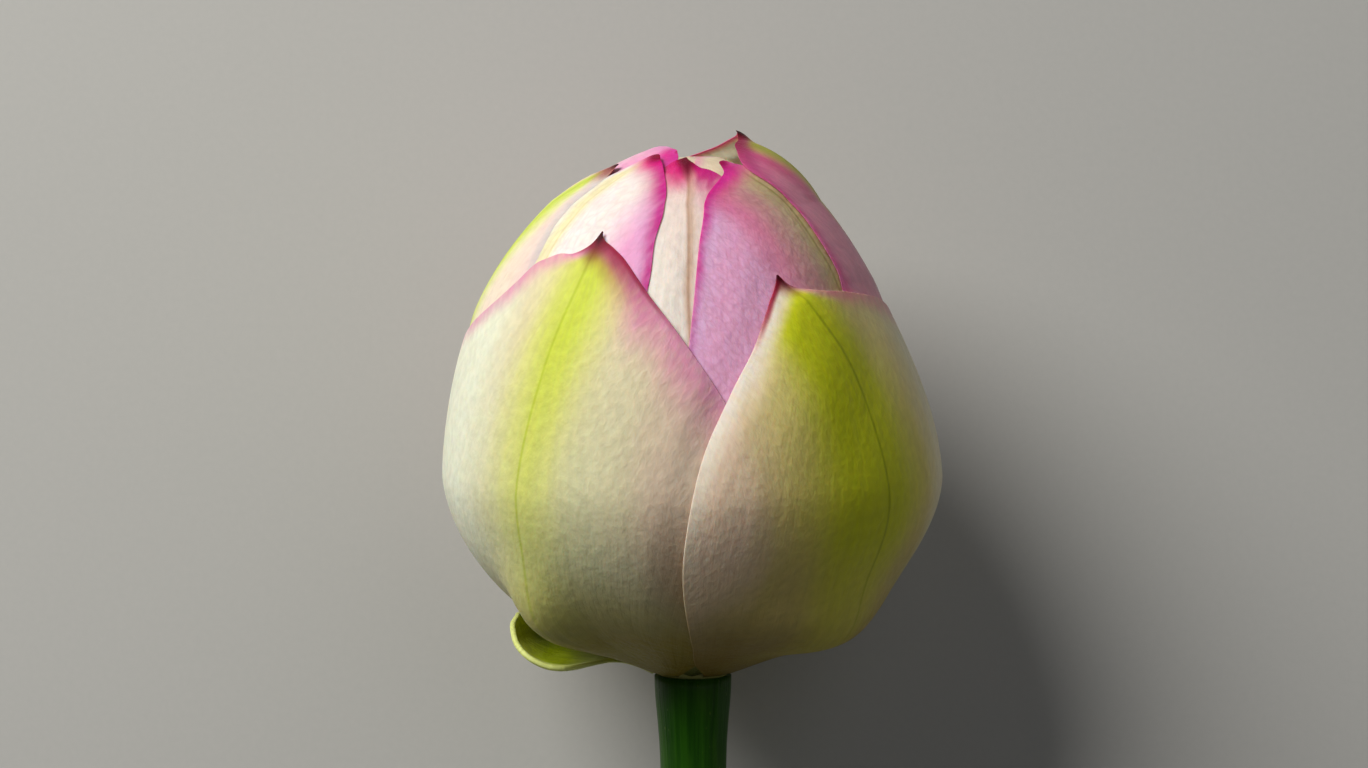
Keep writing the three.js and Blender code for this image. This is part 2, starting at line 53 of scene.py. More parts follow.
BUD_RADIUS, BUD_HEIGHT, WIDEST_HEIGHT = 37.5, 81.8, 30.9
BOTTOM_POWER, TOP_POWER = 1.74, 1.6
NECK_DROP, NECK_SPREAD = 2.7, 11.0
LEAN = dict(shift=-1.7, height=59.0, spread=18.0)
TOP_SHIFT = dict(shift=0.29, start=72.0, limit=12.0)
CHEEKS = [
    dict(out=3.8, azimuth=-50, width=10, height=12.5, spread=6.0),
    dict(out=4.1, azimuth=49, width=28, height=11.0, spread=4.4),
]
TILT, PRESSED = math.radians(11.5), 1.3
NECK_RADIUS, SEAT_GAP = 5.3, 0.35
BASE_LENGTH = NECK_RADIUS + SEAT_GAP + 0.05
SLOPE_STEP = 0.4
AXIS_START, AXIS_SPREAD = 6.0, 8.0


def bell(x, spread):
    return np.exp(-((x / spread) ** 2))


def smooth(x, low=0.0, high=1.0):
    x = np.clip((x - low) / (high - low), 0, 1)
    return x * x * (3 - 2 * x)


def running(steps):
    """The running total of steps, from 0."""
    return np.concatenate([[0], np.cumsum(steps)])


def circle(sides):
    return np.arange(sides) / sides * 2 * np.pi


def bud_profile(steps=400):
    share = np.sin(np.arange(steps) / steps * np.pi / 2)
    radii = BUD_RADIUS * share
    fall = (WIDEST_HEIGHT - NECK_DROP) * (1 - share**2) ** (1 / BOTTOM_POWER)
    heights = WIDEST_HEIGHT - fall - NECK_DROP * bell(radii, NECK_SPREAD)
    share = np.cos(np.arange(steps + 1) / steps * np.pi / 2)
    rise = (BUD_HEIGHT - WIDEST_HEIGHT) * np.maximum(1 - share**2, 0) ** (1 / TOP_POWER)
    radii = np.concatenate([radii, BUD_RADIUS * share])
    heights = np.concatenate([heights, WIDEST_HEIGHT + rise])
    return radii, heights, running(np.hypot(np.diff(radii), np.diff(heights)))


RADII, HEIGHTS, LENGTHS = bud_profile()


def radius_at(length):
    return np.interp(length, LENGTHS, RADII)


def height_at(length):
    return np.interp(length, LENGTHS, HEIGHTS)


def length_at(height):
    return np.interp(height, HEIGHTS, LENGTHS)


def upright(azimuth, length, depth):
    """Points of the upright bud, depth below its skin, as an (..., 3) array. Near the axis they only
    sink, so that nothing crosses the axis."""
    out = height_at(length + SLOPE_STEP) - height_at(length - SLOPE_STEP)
    up = radius_at(length - SLOPE_STEP) - radius_at(length + SLOPE_STEP)
    size = np.hypot(out, up)
    level = smooth((radius_at(length) - AXIS_START) / AXIS_SPREAD)
    radius = radius_at(length) - out / size * level * depth
    height = height_at(length) - up / size * depth
    lean = LEAN["shift"] * bell(height - LEAN["height"], LEAN["spread"])
    top = TOP_SHIFT["shift"] * np.clip(height - TOP_SHIFT["start"], 0, TOP_SHIFT["limit"])
    turn = np.radians(azimuth)
    return np.stack([radius * np.sin(turn) + lean + top, -radius * np.cos(turn), height], -1)


def turned(points):
    x, y, z = points[..., 0], points[..., 1], points[..., 2]
    sin, cos = math.sin(TILT), math.cos(TILT)
    return np.stack([x, y * sin + z * cos, z * sin - y * cos], -1)


def lowest_point():
    line = turned(upright(180.0, np.arange(0, LENGTHS[-1], 0.1), 0.0))
    return line[line[:, 2].argmin()]


LOWEST = lowest_point()


def lay(points):
    """From the upright bud to the lying one, both in millimetres."""
    return turned(np.asarray(points, float)) - [0, LOWEST[1], LOWEST[2] + PRESSED]


def skin(azimuth, length, depth):
    """Points of the lying bud. What the floor presses in moves up, with the layers above it."""
    points = lay(upright(azimuth, length, depth))
    points[..., 2] += np.maximum(0, -lay(upright(azimuth, length, np.zeros_like(depth)))[..., 2])
    return points


# ---- Helpers ----

NOISE_CELLS = 257


def value_noise(x, y, seed):
    """Smooth repeatable noise, -1 to 1, with one cell per unit."""
    table = np.random.default_rng(seed).uniform(-1, 1, (NOISE_CELLS, NOISE_CELLS))
    column, row = np.floor(x).astype(int), np.floor(y).astype(int)
    a, b = smooth(x - column), smooth(y - row)

    def pick(i, j):
        return table[(column + i) % NOISE_CELLS, (row + j) % NOISE_CELLS]

    near, far = (pick(0, j) * (1 - a) + pick(1, j) * a for j in (0, 1))
    return near * (1 - b) + far * b


def spline(points, count=400):
    """A uniform Catmull-Rom curve through the points."""
    points = np.asarray(points, float)
    last = len(points) - 1
    where = np.linspace(0, last, count + 1)
    i = np.floor(where).astype(int)
    w = (where - i)[:, None]
    p0, p1 = points[np.maximum(i - 1, 0)], points[i]
    p2, p3 = points[np.minimum(i + 1, last)], points[np.minimum(i + 2, last)]
    v0, v1 = (p2 - p0) / 2, (p3 - p1) / 2
    return (2 * p1 - 2 * p2 + v0 + v1) * w**3 + (3 * p2 - 3 * p1 - 2 * v0 - v1) * w**2 + v0 * w + p1


def spline_columns(points, shares, count=1000):
    """The coordinates of a spline at the given shares of it, each as a column."""
    way = np.linspace(0, 1, count + 1)
    return [np.interp(shares, way, line)[:, None] for line in spline(points, count).T]


def placed(name, data):
    piece = bpy.data.objects.new(name, data)
    bpy.context.scene.collection.objects.link(piece)
    return piece


def new_mesh(name, vertices, faces):
    mesh = bpy.data.meshes.new(name)
    mesh.from_pydata((np.asarray(vertices) * MM).tolist(), [], faces)
    return mesh


def hold(mesh, name, values):
    """Keeps a number or three per point in the mesh, for its material."""
    kind, field = ("FLOAT_VECTOR", "vector") if values.ndim == 2 else ("FLOAT", "value")
    mesh.attributes.new(name, kind, "POINT").data.foreach_set(field, values.astype(np.float32).ravel())


def new_piece(node, slot, vertices, faces, attributes):
    """A smooth-shaded piece that stands for a solid and rides with the flower."""
    mesh = new_mesh(node + "_skin", vertices, faces)
    for name, values in attributes.items():
        hold(mesh, name, values)
    mesh.polygons.foreach_set("use_smooth", [True] * len(mesh.polygons))
    mesh.validate()
    mesh.update()
    piece = placed(node + "_skin", mesh)
    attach(piece, "root")
    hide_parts(node)
    return piece


def tube_faces(rows, ring, start=0):
    """Quads round a tube of rows rings, open at both ends."""
    faces = []
    for row in range(rows - 1):
        for k in range(ring):
            a, b = start + row * ring + k, start + row * ring + (k + 1) % ring
            faces.append((a, b, b + ring, a + ring))
    return faces


def capped_faces(rows, ring, start=0):
    """The faces of a tube of rows rings, with flat ends."""
    last = start + (rows - 1) * ring
    ends = [tuple(range(start + ring - 1, start - 1, -1)), tuple(range(last, last + ring))]
    return tube_faces(rows, ring, start) + ends


def tube(path, radii, sides, start=0):
    """A closed tube of rings round the points of a path, as points and faces."""
    path = np.asarray(path, float)
    tangents = np.gradient(path, axis=0)
    tangents /= np.linalg.norm(tangents, axis=1, keepdims=True)
    side = np.cross(tangents[0], [0.0, 0.0, 1.0])
    if np.linalg.norm(side) < 0.1:
        side = np.cross(tangents[0], [1.0, 0.0, 0.0])
    turn = circle(sides)[:, None]
    rings = []
    for point, tangent, radius in zip(path, tangents, radii):
        side = side - tangent * (side @ tangent)
        side /= np.linalg.norm(side)
        rings.append(point + radius * (np.cos(turn) * side + np.sin(turn) * np.cross(tangent, side)))
    return np.concatenate(rings), capped_faces(len(path), sides, start)


def turned_rings(profile, sides):
    """Rings of points round the bud's axis, from a [radius, height] line."""
    turn = circle(sides)
    radii, heights = profile[:, :1], profile[:, 1:]
    return np.stack(np.broadcast_arrays(radii * np.sin(turn), -radii * np.cos(turn), heights), -1)


# ---- Petals ----

THICKNESS, FULL_THICKNESS_FROM = 0.6, 4.0
MARGIN_THICKNESS, FINE_MARGIN = 0.22, 0.1
LAYER_PITCH, MARGIN_PITCH = 1.15, 0.28
RIM, FADE, UNDERCUT = 0.5, 4.0, 5.0
SLENDER_RADIUS, SLENDEREST = 12.0, 0.15
TUCK = dict(depth=3.2, start=50.0, full=75.0)
HEART_SINK = 2.5
CLOSED_TOP = 81.79
FINE_GRID, COARSE_GRID = (110, 72), (48, 32)
TIP_CROWDING, LAST_SHARE = 1.3, 0.9985
OUTLINE_POINTS = 49
RIBS = [
    dict(height=0.045, width=3.2, length=24, seed=20),
    dict(height=0.12, width=6.5, length=30, seed=60),
]
RIBS_FADE = dict(edge=(0, 3), rise=(2, 14), low_more=0.8, low_end=34, low_fade=16)
LIFT = dict(height=0.06, width=3.5, rise=(8, 20), tip=(1, 6))
ROLL = dict(width=5, reach=28, fade=20, rise=(34, 62))
BEAK_SPREAD = 2.4
HUG = dict(width=1.6, tip=(0.5, 3))
FLARE = dict(width=5, height=(70, 77))

# Edges of plain petals: shares of the sweep from foot to tip, of the half width and of the height.
PLAIN_EDGE = [(0, 0.72, 0.12), (0, 1, 0.43), (0.35, 0.88, 0.72), (0.8, 0.42, 0.93)]
CLOSING_EDGE = [(0, 0.7, 0.12), *((0, 1, up) for up in (0.45, 0.8, 0.95, 0.985, 0.999))]
PLAIN_MIDRIB = [(0, 0.25), (0.1, 0.5), (0.45, 0.75)]


def plain_petal(name, look, azimuth, half, height, half_base, sweep=0, edge=PLAIN_EDGE, **more):
    """A petal whose edges mirror each other. Its tip lies sweep degrees from its foot."""
    left, right = ([[azimuth + sweep * way + side * wide, height * up] for way, wide, up in edge]
                   for side in (-half, half))
    mid = [[azimuth + sweep * way, height * up] for way, up in PLAIN_MIDRIB]
    base, tip = [azimuth - half_base, azimuth, azimuth + half_base], [azimuth + sweep, height]
    return dict(name=name, look=look, base=base, tip=tip, left=left, mid=mid, right=right, **more)


# Outermost first. Edges and midrib are [azimuth, height] points that end at the tip, and base holds their
# azimuths at the neck. In millimetres, beak and flare stand out, hug and sink go in, and a roll is a crest.
PETALS = [
    dict(
        name="petal_front_right", look="outer", base=[17, 50, 92], cheeks=True, beak=0.5, roll_left=1.4,
        tip=[29, 61.8],
        left=[[2.8, 3.3], [0, 7], [-2.5, 17], [-1, 27], [3, 37], [10.5, 45.5], [17.5, 51.3], [21.2, 54.6],
              [25, 58], [27.2, 59.7], [28.2, 60.7]],
        mid=[[52, 12], [50.5, 23.5], [47.5, 38.2], [45.5, 45.4], [42.5, 50.4], [38.5, 54.4], [34.8, 58],
             [31, 60.6]],
        right=[[106, 12], [116, 26], [114, 42], [98, 53.2], [80, 57.2], [65, 58.5], [53.8, 58.9],
               [42.8, 58.9], [36.5, 59.3], [32, 60.3]],
    ),
    dict(
        name="petal_front_left", look="outer", base=[-92, -48, -23], cheeks=True, beak=0.5, roll_right=0.35,
        tip=[-29.2, 67.9],
        left=[[-108, 12], [-118, 26], [-112, 40], [-92, 50], [-68, 56.6], [-58, 60.2], [-52.2, 63],
              [-47.2, 63.9], [-42.2, 64.6], [-37.2, 64.6], [-33.6, 65.4], [-30.8, 66.6]],
        mid=[[-48, 12], [-44, 24], [-41, 37], [-36.5, 48.5], [-31, 60], [-29.4, 65.6]],
        right=[[3, 3.4], [9, 10], [16, 22], [16, 33], [9, 44], [-1, 53.7], [-11, 60.2], [-18, 63.9],
               [-23.4, 65.7], [-26.8, 66.5], [-28.4, 67.1]],
    ),
    plain_petal("petal_under", "outer", 180, 72, 64, 38),
    dict(
        name="petal_left", look="outer", base=[-128, -94, -62], hug=0.3, tip=[-63, 77.6],
        left=[[-142, 14], [-150, 32], [-146, 50], [-132, 63], [-112, 71], [-88, 75.8], [-74, 77.2]],
        mid=[[-95, 14], [-94, 32], [-92, 50], [-88, 63], [-78, 72], [-68, 76.4]],
        right=[[-44, 14], [-38, 32], [-46, 50], [-53, 60], [-55, 66.1], [-56.8, 69.3], [-56, 72.8],
               [-55.2, 74.6], [-57.5, 76.2]],
    ),
    dict(
        name="petal_right", look="outer", base=[72, 104, 138], beak=0.3, hug=0.1, flare=0.7, tip=[84, 81.5],
        left=[[50, 14], [42, 32], [48, 50], [54.8, 59.5], [55.4, 63], [53.5, 67.8], [51.5, 70.7],
              [47.2, 73.1], [40.8, 74.9], [32, 76.6], [27.5, 77.9], [28.5, 79.35], [35, 80.6], [60, 81.2]],
        mid=[[106, 14], [108, 32], [108, 50], [106, 66], [100, 76], [90, 80.2]],
        right=[[158, 14], [170, 32], [182, 50], [194, 64], [200, 73], [197, 76.8], [191, 77.6],
               [183, 78.4], [172, 79.3], [152, 80.6], [120, 81.3]],
    ),
    plain_petal("petal_back", "outer", 178, 58, 78, 34, sweep=12),
    dict(
        name="petal_inner_left", look="inner", base=[-84, -52, -24], beak=0.25, hug=0.1, tip=[-34, 78.8],
        left=[[-100, 16], [-106, 34], [-98, 52], [-82, 65], [-70, 71.5], [-62, 74.6], [-53, 76.9],
              [-45.5, 78.3], [-39.5, 78.8]],
        mid=[[-52, 16], [-52, 34], [-52, 50], [-50, 64], [-48, 70], [-45, 75], [-40, 77.6]],
        right=[[-8, 16], [-4, 34], [-7, 50], [-10, 57.2], [-9.5, 62.7], [-9.8, 66.9], [-8.8, 70.7],
               [-9.8, 72.8], [-13.2, 74.7], [-19, 76.5], [-25, 77.7], [-30, 78.3]],
    ),
    dict(
        name="petal_inner_right", look="inner", base=[22, 50, 80], beak=0.35, hug=0.1, tip=[11, 77.7],
        left=[[6, 16], [0, 34], [0.5, 48], [2, 53.7], [3.5, 58.6], [4.8, 64.2], [5.5, 66.9], [7, 70.4],
              [7.8, 73], [9, 74], [12.2, 75.4], [14.8, 76.4], [13.2, 77.1]],
        mid=[[50, 16], [52, 34], [54, 50], [53.5, 60.8], [51.2, 65.8], [47.5, 71.6], [41.8, 73.7],
             [33.2, 75.5], [24.8, 77], [16, 77.6]],
        right=[[98, 16], [106, 34], [104, 50], [94, 64], [70, 73], [45, 76.8], [30, 77.7], [20.2, 78],
               [14.5, 78.1]],
    ),
    dict(
        name="petal_inner_back_left", look="inner", base=[-166, -138, -110], sink=0.55, presses=0.55,
        hug=0.1, tip=[-26, 79.9],
        left=[[-176, 12], [-190, 34], [-188, 56], [-184, 70], [-150, 78], [-110, 80.4], [-60, 80.7],
              [-34, 80.3]],
        mid=[[-138, 20], [-138, 40], [-136, 58], [-122, 71], [-88, 78], [-50, 79.7]],
        right=[[-100, 16], [-90, 34], [-86, 50], [-70, 62], [-44, 74], [-26, 77.5], [-20, 78.3],
               [-20, 79.2]],
    ),
    plain_petal("petal_inner_back_right", "inner", 128, 52, 79, 28, sweep=10, coarse=True),
    dict(
        name="petal_inner_front", look="inner", base=[-28, 0, 28], beak=1, tip=[-11.8, 78.6],
        left=[[-36, 16], [-40, 34], [-38, 50], [-34, 64], [-30, 73], [-26, 77.2], [-20.5, 78.4],
              [-15, 78.45]],
        mid=[[0, 16], [1, 34], [2, 50], [2, 60], [1.6, 67], [0.2, 72.5], [-4, 75.8], [-7.6, 77.3]],
        right=[[36, 16], [40, 34], [38, 50], [34, 64], [26, 73], [14, 76.1], [6.5, 77], [0.5, 77.2],
               [-7, 77.9]],
    ),
]
INSIDE = dict(tucked=True, coarse=True)
PETALS += [plain_petal("petal_core_" + side, "core", azimuth, 68, CLOSED_TOP, 26, edge=CLOSING_EDGE, **INSIDE)
           for side, azimuth in (("right", 62), ("left", -62), ("back", 180))]
PETALS += [plain_petal("petal_heart_" + side, "inner", azimuth, 44, height, 24, sink=HEART_SINK, **INSIDE)
           for side, azimuth, height in (("front", 28, 64), ("left", -92, 63), ("back", 150, 62))]


def skin_line(base_azimuth, points, shares):
    """A smooth line on the skin, as [azimuth, length] at the given shares of its way."""
    knots = [[base_azimuth, BASE_LENGTH]] + [[azimuth, length_at(height)] for azimuth, height in points]
    fine = spline(knots, 800)
    across = np.radians(np.diff(fine[:, 0])) * radius_at((fine[1:, 1] + fine[:-1, 1]) / 2)
    along = running(np.hypot(across, np.diff(fine[:, 1])))
    target = along[-1] * np.asarray(shares)
    return np.stack([np.interp(target, along, fine[:, 0]), np.interp(target, along, fine[:, 1])], -1)


def petal_lines(petal, shares):
    """A petal's left edge, midrib and right edge."""
    sides = [petal[side] + [petal["tip"]] for side in ("left", "mid", "right")]
    return [skin_line(azimuth, side, shares) for azimuth, side in zip(petal["base"], sides)]


def map_round(azimuth, length, middle):
    turn = (azimuth - middle + 180) % 360 - 180
    return np.radians(turn) * radius_at(length), length


def petal_outline(petal):
    left, _, right = petal_lines(petal, np.linspace(0, 1, OUTLINE_POINTS))
    middle = petal["mid"][2][0]
    ring = np.concatenate([left, right[-2::-1]])
    return middle, np.stack(map_round(ring[:, 0], ring[:, 1], middle), -1), petal.get("presses", 0.0)


def signed_distance(corners, x, y):
    """Distance from an outline, negative inside it."""
    nearest = np.full(x.shape, np.inf)
    inside = np.zeros(x.shape, bool)
    for (ax, ay), (bx, by) in zip(corners, np.roll(corners, -1, 0)):
        ex, ey = bx - ax, by - ay
        size = ex * ex + ey * ey or 1.0
        share = np.clip(((x - ax) * ex + (y - ay) * ey) / size, 0, 1)
        nearest = np.minimum(nearest, (x - ax - share * ex) ** 2 + (y - ay - share * ey) ** 2)
        if ay != by:
            inside ^= ((ay > y) != (by > y)) & (x < ax + (y - ay) * ex / ey)
    return np.where(inside, -1, 1) * np.sqrt(nearest)


def cover(outline, azimuth, length):
    """Whether a petal covers the skin, fading from 1 to 0 outside it, and how deep it presses the next."""
    middle, corners, extra = outline
    scale = np.clip(radius_at(length) / SLENDER_RADIUS, SLENDEREST, 1)
    distance = signed_distance(corners, *map_round(azimuth, length, middle))
    share = smooth(1 - (distance - RIM * scale) / (FADE * scale))
    under = smooth(-distance / (UNDERCUT * scale))
    return share, (MARGIN_PITCH + extra) * share + (LAYER_PITCH - MARGIN_PITCH) * under


def blade(outer, inner, values):
    """Closes two faces (rows x columns x 3) with a round rim. values are numbers per point, (rows x
    columns) each, that both faces share. Gives points, faces, the spread values and an inside share."""
    rows, columns = outer.shape[0] - 1, outer.shape[1] - 1
    rims = []
    for side, near in ((-1, -2), (0, 1)):
        centre = (outer[:, side] + inner[:, side]) / 2
        away = outer[:, side] - outer[:, near]
        away = away / np.maximum(np.linalg.norm(away, axis=-1, keepdims=True), 1e-9)
        gap = np.linalg.norm(outer[:, side] - inner[:, side], axis=-1, keepdims=True)
        rims.append((centre + away * gap * 0.5)[:, None])
    points = np.concatenate([outer, rims[0], inner[:, ::-1], rims[1]], 1)
    count = points.shape[1]
    spread = [np.concatenate([v, v[:, -1:], v[:, ::-1], v[:, :1]], 1).ravel() for v in values]
    inside = np.tile([0.0] * (columns + 1) + [0.5] + [1.0] * (columns + 1) + [0.5], rows + 1)
    faces = tube_faces(rows + 1, count)
    for base, first in ((0, True), (rows * count, False)):
        cap = []
        for k in range(columns):
            a, b, c, d = base + k, base + k + 1, base + count - 3 - k, base + count - 2 - k
            cap.append((a, d, c, b))
        cap.append((base, base + count - 1, base + count - 2))
        cap.append((base + columns, base + columns + 2, base + columns + 1))
        faces += cap if first else [tuple(reversed(face)) for face in cap]
    return points.reshape(-1, 3), faces, spread, inside


def edge_to_edge(columns):
    """Shares from -1 to 1 across a blade, closer together at its edges."""
    return np.sin(np.linspace(-1, 1, columns + 1) * np.pi / 2)


def petal_grid(petal):
    """Rows of points on the skin, from base to tip, as azimuths and lengths, and for each point the way
    from the midrib, the base, the tip, the left edge and the right edge."""
    rows, columns = COARSE_GRID if petal.get("coarse") else FINE_GRID
    shares = 1 - (1 - np.linspace(0, 1, rows + 1)) ** TIP_CROWDING
    shares[-1] = LAST_SHARE
    left, mid, right = petal_lines(petal, shares)
    u = edge_to_edge(columns)
    half, bow = (right - left) / 2, (right + left) / 2 - mid
    grid = mid[:, None] + u[None, :, None] * half[:, None] + u[None, :, None] ** 2 * bow[:, None]
    azimuth, length = grid[..., 0], grid[..., 1]
    radius = radius_at(length)
    across = np.radians(azimuth - mid[:, None, 0]) * radius
    steps = np.hypot(np.radians(np.diff(mid[:, 0])) * radius_at(mid[1:, 1]), np.diff(mid[:, 1]))
    rise = np.broadcast_to(running(steps)[:, None], across.shape)
    tip_azimuth, tip_height = petal["tip"]
    tip = np.hypot(np.radians(azimuth - tip_azimuth) * radius, length - length_at(tip_height))
    width = np.hypot(np.radians(half[:, 0]) * radius_at(mid[:, 1]), half[:, 1])[:, None]
    return azimuth, length, (across, rise, tip, (1 + u) * width, (1 - u) * width)


def relief(petal, seed, across, rise, tip, to_left, to_right):
    """How far a petal stands out where nothing covers it: soft ribs, a lifted edge and a rolled crest."""
    edge = np.minimum(to_left, to_right)
    ribs = 0
    for rib in RIBS:
        place = across / rib["width"] + 60, rise / rib["length"] + 9
        ribs = ribs + rib["height"] * value_noise(*place, rib["seed"] + seed)
    ribs = ribs * smooth(edge, *RIBS_FADE["edge"]) * smooth(rise, *RIBS_FADE["rise"])
    ribs = ribs * (1 + RIBS_FADE["low_more"] * smooth(RIBS_FADE["low_end"] - rise, 0, RIBS_FADE["low_fade"]))
    lift = LIFT["height"] * smooth(1 - edge / LIFT["width"])
    for key, to_edge in (("roll_left", to_left), ("roll_right", to_right)):
        crest = 1 - (1 - np.clip(to_edge / ROLL["width"], 0, 1)) ** 2
        crest = crest * smooth(ROLL["reach"] - to_edge, 0, ROLL["fade"])
        lift = lift + petal.get(key, 0.0) * crest * smooth(rise, *ROLL["rise"])
    return ribs + lift * smooth(rise, *LIFT["rise"]) * smooth(tip, *LIFT["tip"])


def petal_mesh(index, outlines):
    petal = PETALS[index]
    azimuth, length, places = petal_grid(petal)
    across, rise, tip, to_left, to_right = places
    height, edge = height_at(length), np.minimum(to_left, to_right)

    covered = np.zeros_like(across)
    pressed = np.zeros_like(across)
    for outline in outlines[:index]:
        share, deeper = cover(outline, azimuth, length)
        covered = np.maximum(covered, share)
        pressed = pressed + deeper
    depth = petal.get("sink", 0.0) + pressed
    if petal.get("tucked"):
        depth = depth + TUCK["depth"] * smooth(height, TUCK["start"], TUCK["full"])
    if petal.get("cheeks"):
        for cheek in CHEEKS:
            round_cheek = bell(azimuth - cheek["azimuth"], cheek["width"])
            depth = depth - cheek["out"] * round_cheek * bell(height - cheek["height"], cheek["spread"])

    depth = depth - (1 - covered) * relief(petal, index, *places)
    depth = depth - petal.get("beak", 0.0) * bell(tip, BEAK_SPREAD)
    depth = depth + petal.get("hug", 0.0) * smooth(1 - edge / HUG["width"]) * smooth(tip, *HUG["tip"])
    flared = smooth(1 - to_right / FLARE["width"]) * smooth(height, *FLARE["height"])
    depth = depth - petal.get("flare", 0.0) * flared

    margin = FINE_MARGIN if "hug" in petal else MARGIN_THICKNESS
    thickness = margin + (THICKNESS - margin) * smooth(edge, 0, FULL_THICKNESS_FROM)
    outer = skin(azimuth, length, depth)
    inner = skin(azimuth, length, depth + thickness)
    points, faces, spread, inside = blade(outer, inner, places)
    return points, faces, dict(petal=np.stack(spread[:3], -1), margin=np.stack([*spread[3:], inside], -1))


outlines = [petal_outline(petal) for petal in PETALS]
petal_pieces = []
for index, petal in enumerate(PETALS):
    slot = "petal_outer" if petal["look"] == "outer" else "petal_inner"
    petal_pieces.append(new_piece(petal["name"], slot, *petal_mesh(index, outlines)))

# ---- Sepal ----

SEPAL = dict(
    azimuth=-88, swing=-26,
    spine=[[6.25, 0.9], [11, 2.85], [17, 4.1], [22, 5.1], [25.2, 7.3], [25.8, 10.2]],
    half_widths=[1.0, 2.6, 10.4, 12.4, 10.2, 0.6],
    unrolled=0.15, opening=2.2, full_width=5, swung=(0.0, 0.5), cup=1.2, roll=2.2, rolled=(0.1, 0.3),
    thickness=0.65, thin_foot=0.5, full_thickness=(0.1, 0.4), bead=0.25, bead_width=1.2, length=30,
)
SEPAL_RIPPLE = dict(height=0.16, width=3.1, count=9, margin=(0.02, 0.3), seed=5)


def sepal_mesh(rows=64, columns=48):
    v = np.linspace(0, 0.998, rows + 1)
    out, height = spline_columns(SEPAL["spine"], v)
    half = spline_columns(list(enumerate(SEPAL["half_widths"])), v)[1]
    tangent = np.gradient(np.concatenate([out, height], 1), axis=0)
    tangent /= np.linalg.norm(tangent, axis=1, keepdims=True)
    u = edge_to_edge(columns)[None]
    opened = smooth(SEPAL["opening"] * (v - SEPAL["unrolled"]))[:, None] * smooth(half / SEPAL["full_width"])
    across = u * half
    turn = np.radians(SEPAL["azimuth"] + SEPAL["swing"] * (1 - smooth(v, *SEPAL["swung"])))[:, None]
    roll = SEPAL["roll"] * smooth(v, *SEPAL["rolled"])[:, None]
    place = across / SEPAL_RIPPLE["width"] + 40, v[:, None] * SEPAL_RIPPLE["count"] + 5
    ripple = SEPAL_RIPPLE["height"] * value_noise(*place, SEPAL_RIPPLE["seed"])
    ripple = ripple * smooth(1 - abs(u), *SEPAL_RIPPLE["margin"])

    def face(below):
        lift = (SEPAL["cup"] * u**2 - roll * u) * opened + ripple - below
        x, y = across, -(out - tangent[:, 1:] * lift)
        z = height + tangent[:, :1] * lift
        x, y = x * np.cos(turn) - y * np.sin(turn), x * np.sin(turn) + y * np.cos(turn)
        return lay(np.stack([x, y, z], -1))

    rim = (1 - abs(u)) * half
    rise = np.broadcast_to(v[:, None] * SEPAL["length"], across.shape)
    thickness = SEPAL["thickness"] * (1 + SEPAL["bead"] * smooth(1 - rim / SEPAL["bead_width"]))
    grown = smooth(v, *SEPAL["full_thickness"])[:, None]
    thickness = thickness * (SEPAL["thin_foot"] + (1 - SEPAL["thin_foot"]) * grown)
    upper, under = face(np.zeros_like(across)), face(thickness)
    points, faces, spread, inside = blade(under, upper, [across, rise, rim])
    return points, faces, dict(sepal=np.stack(spread, -1), inside=inside)


sepal = new_piece("sepal", "sepal", *sepal_mesh())

# ---- Stem ----

STEM_TOP, STEM_RADIUS, STEM_LENGTH = 0.55, 4.95, 125.0
STEM_FLARE = dict(out=0.85, length=8.0)
STEM_BEND = dict(side=4.5, near_side=2.5, grip=50.0)
STEM_PRESSED = 0.25
STEM_SIDES, STEM_RINGS = 64, 97
STEM_SWELL = dict(height=0.05, width=14, length=30, seed=12)
CANAL_DEPTH, CANAL_SIDES = 9.0, 20
CANALS = [
    dict(count=7, first=0.5, ring=3.1, radius=1.0),
    dict(count=3, first=0.0, ring=0.75, radius=0.34),
    dict(count=7, first=0.0, ring=4.15, radius=0.25),
]


def stem_line():
    """The middle line, from the bud's base along its axis to the cut end, which lies on the floor."""
    down = turned(np.array([0.0, 0.0, -1.0]))
    a = lay([0, 0, STEM_TOP])
    b = a + down * STEM_BEND["grip"]
    d = a + down * STEM_LENGTH
    d[0], d[2] = STEM_BEND["side"], STEM_RADIUS * math.cos(TILT) - STEM_PRESSED
    c = d - down * STEM_BEND["grip"]
    c[0] = STEM_BEND["near_side"]
    t = np.linspace(0, 1, STEM_RINGS)[:, None]
    return a * (1 - t) ** 3 + 3 * b * t * (1 - t) ** 2 + 3 * c * t**2 * (1 - t) + d * t**3


def stem_mesh(line, along):
    radii = STEM_RADIUS + STEM_FLARE["out"] * bell(along, STEM_FLARE["length"])
    points, faces = tube(line, radii, STEM_SIDES)
    across = np.tile(np.arange(STEM_SIDES) / STEM_SIDES * STEM_SWELL["width"], STEM_RINGS) + 3
    rise = np.repeat(along, STEM_SIDES) / STEM_SWELL["length"]
    swell = STEM_SWELL["height"] * value_noise(across, rise, STEM_SWELL["seed"])
    middle = np.repeat(line, STEM_SIDES, 0)
    return middle + (points - middle) * (1 + swell / STEM_RADIUS)[:, None], faces, {}


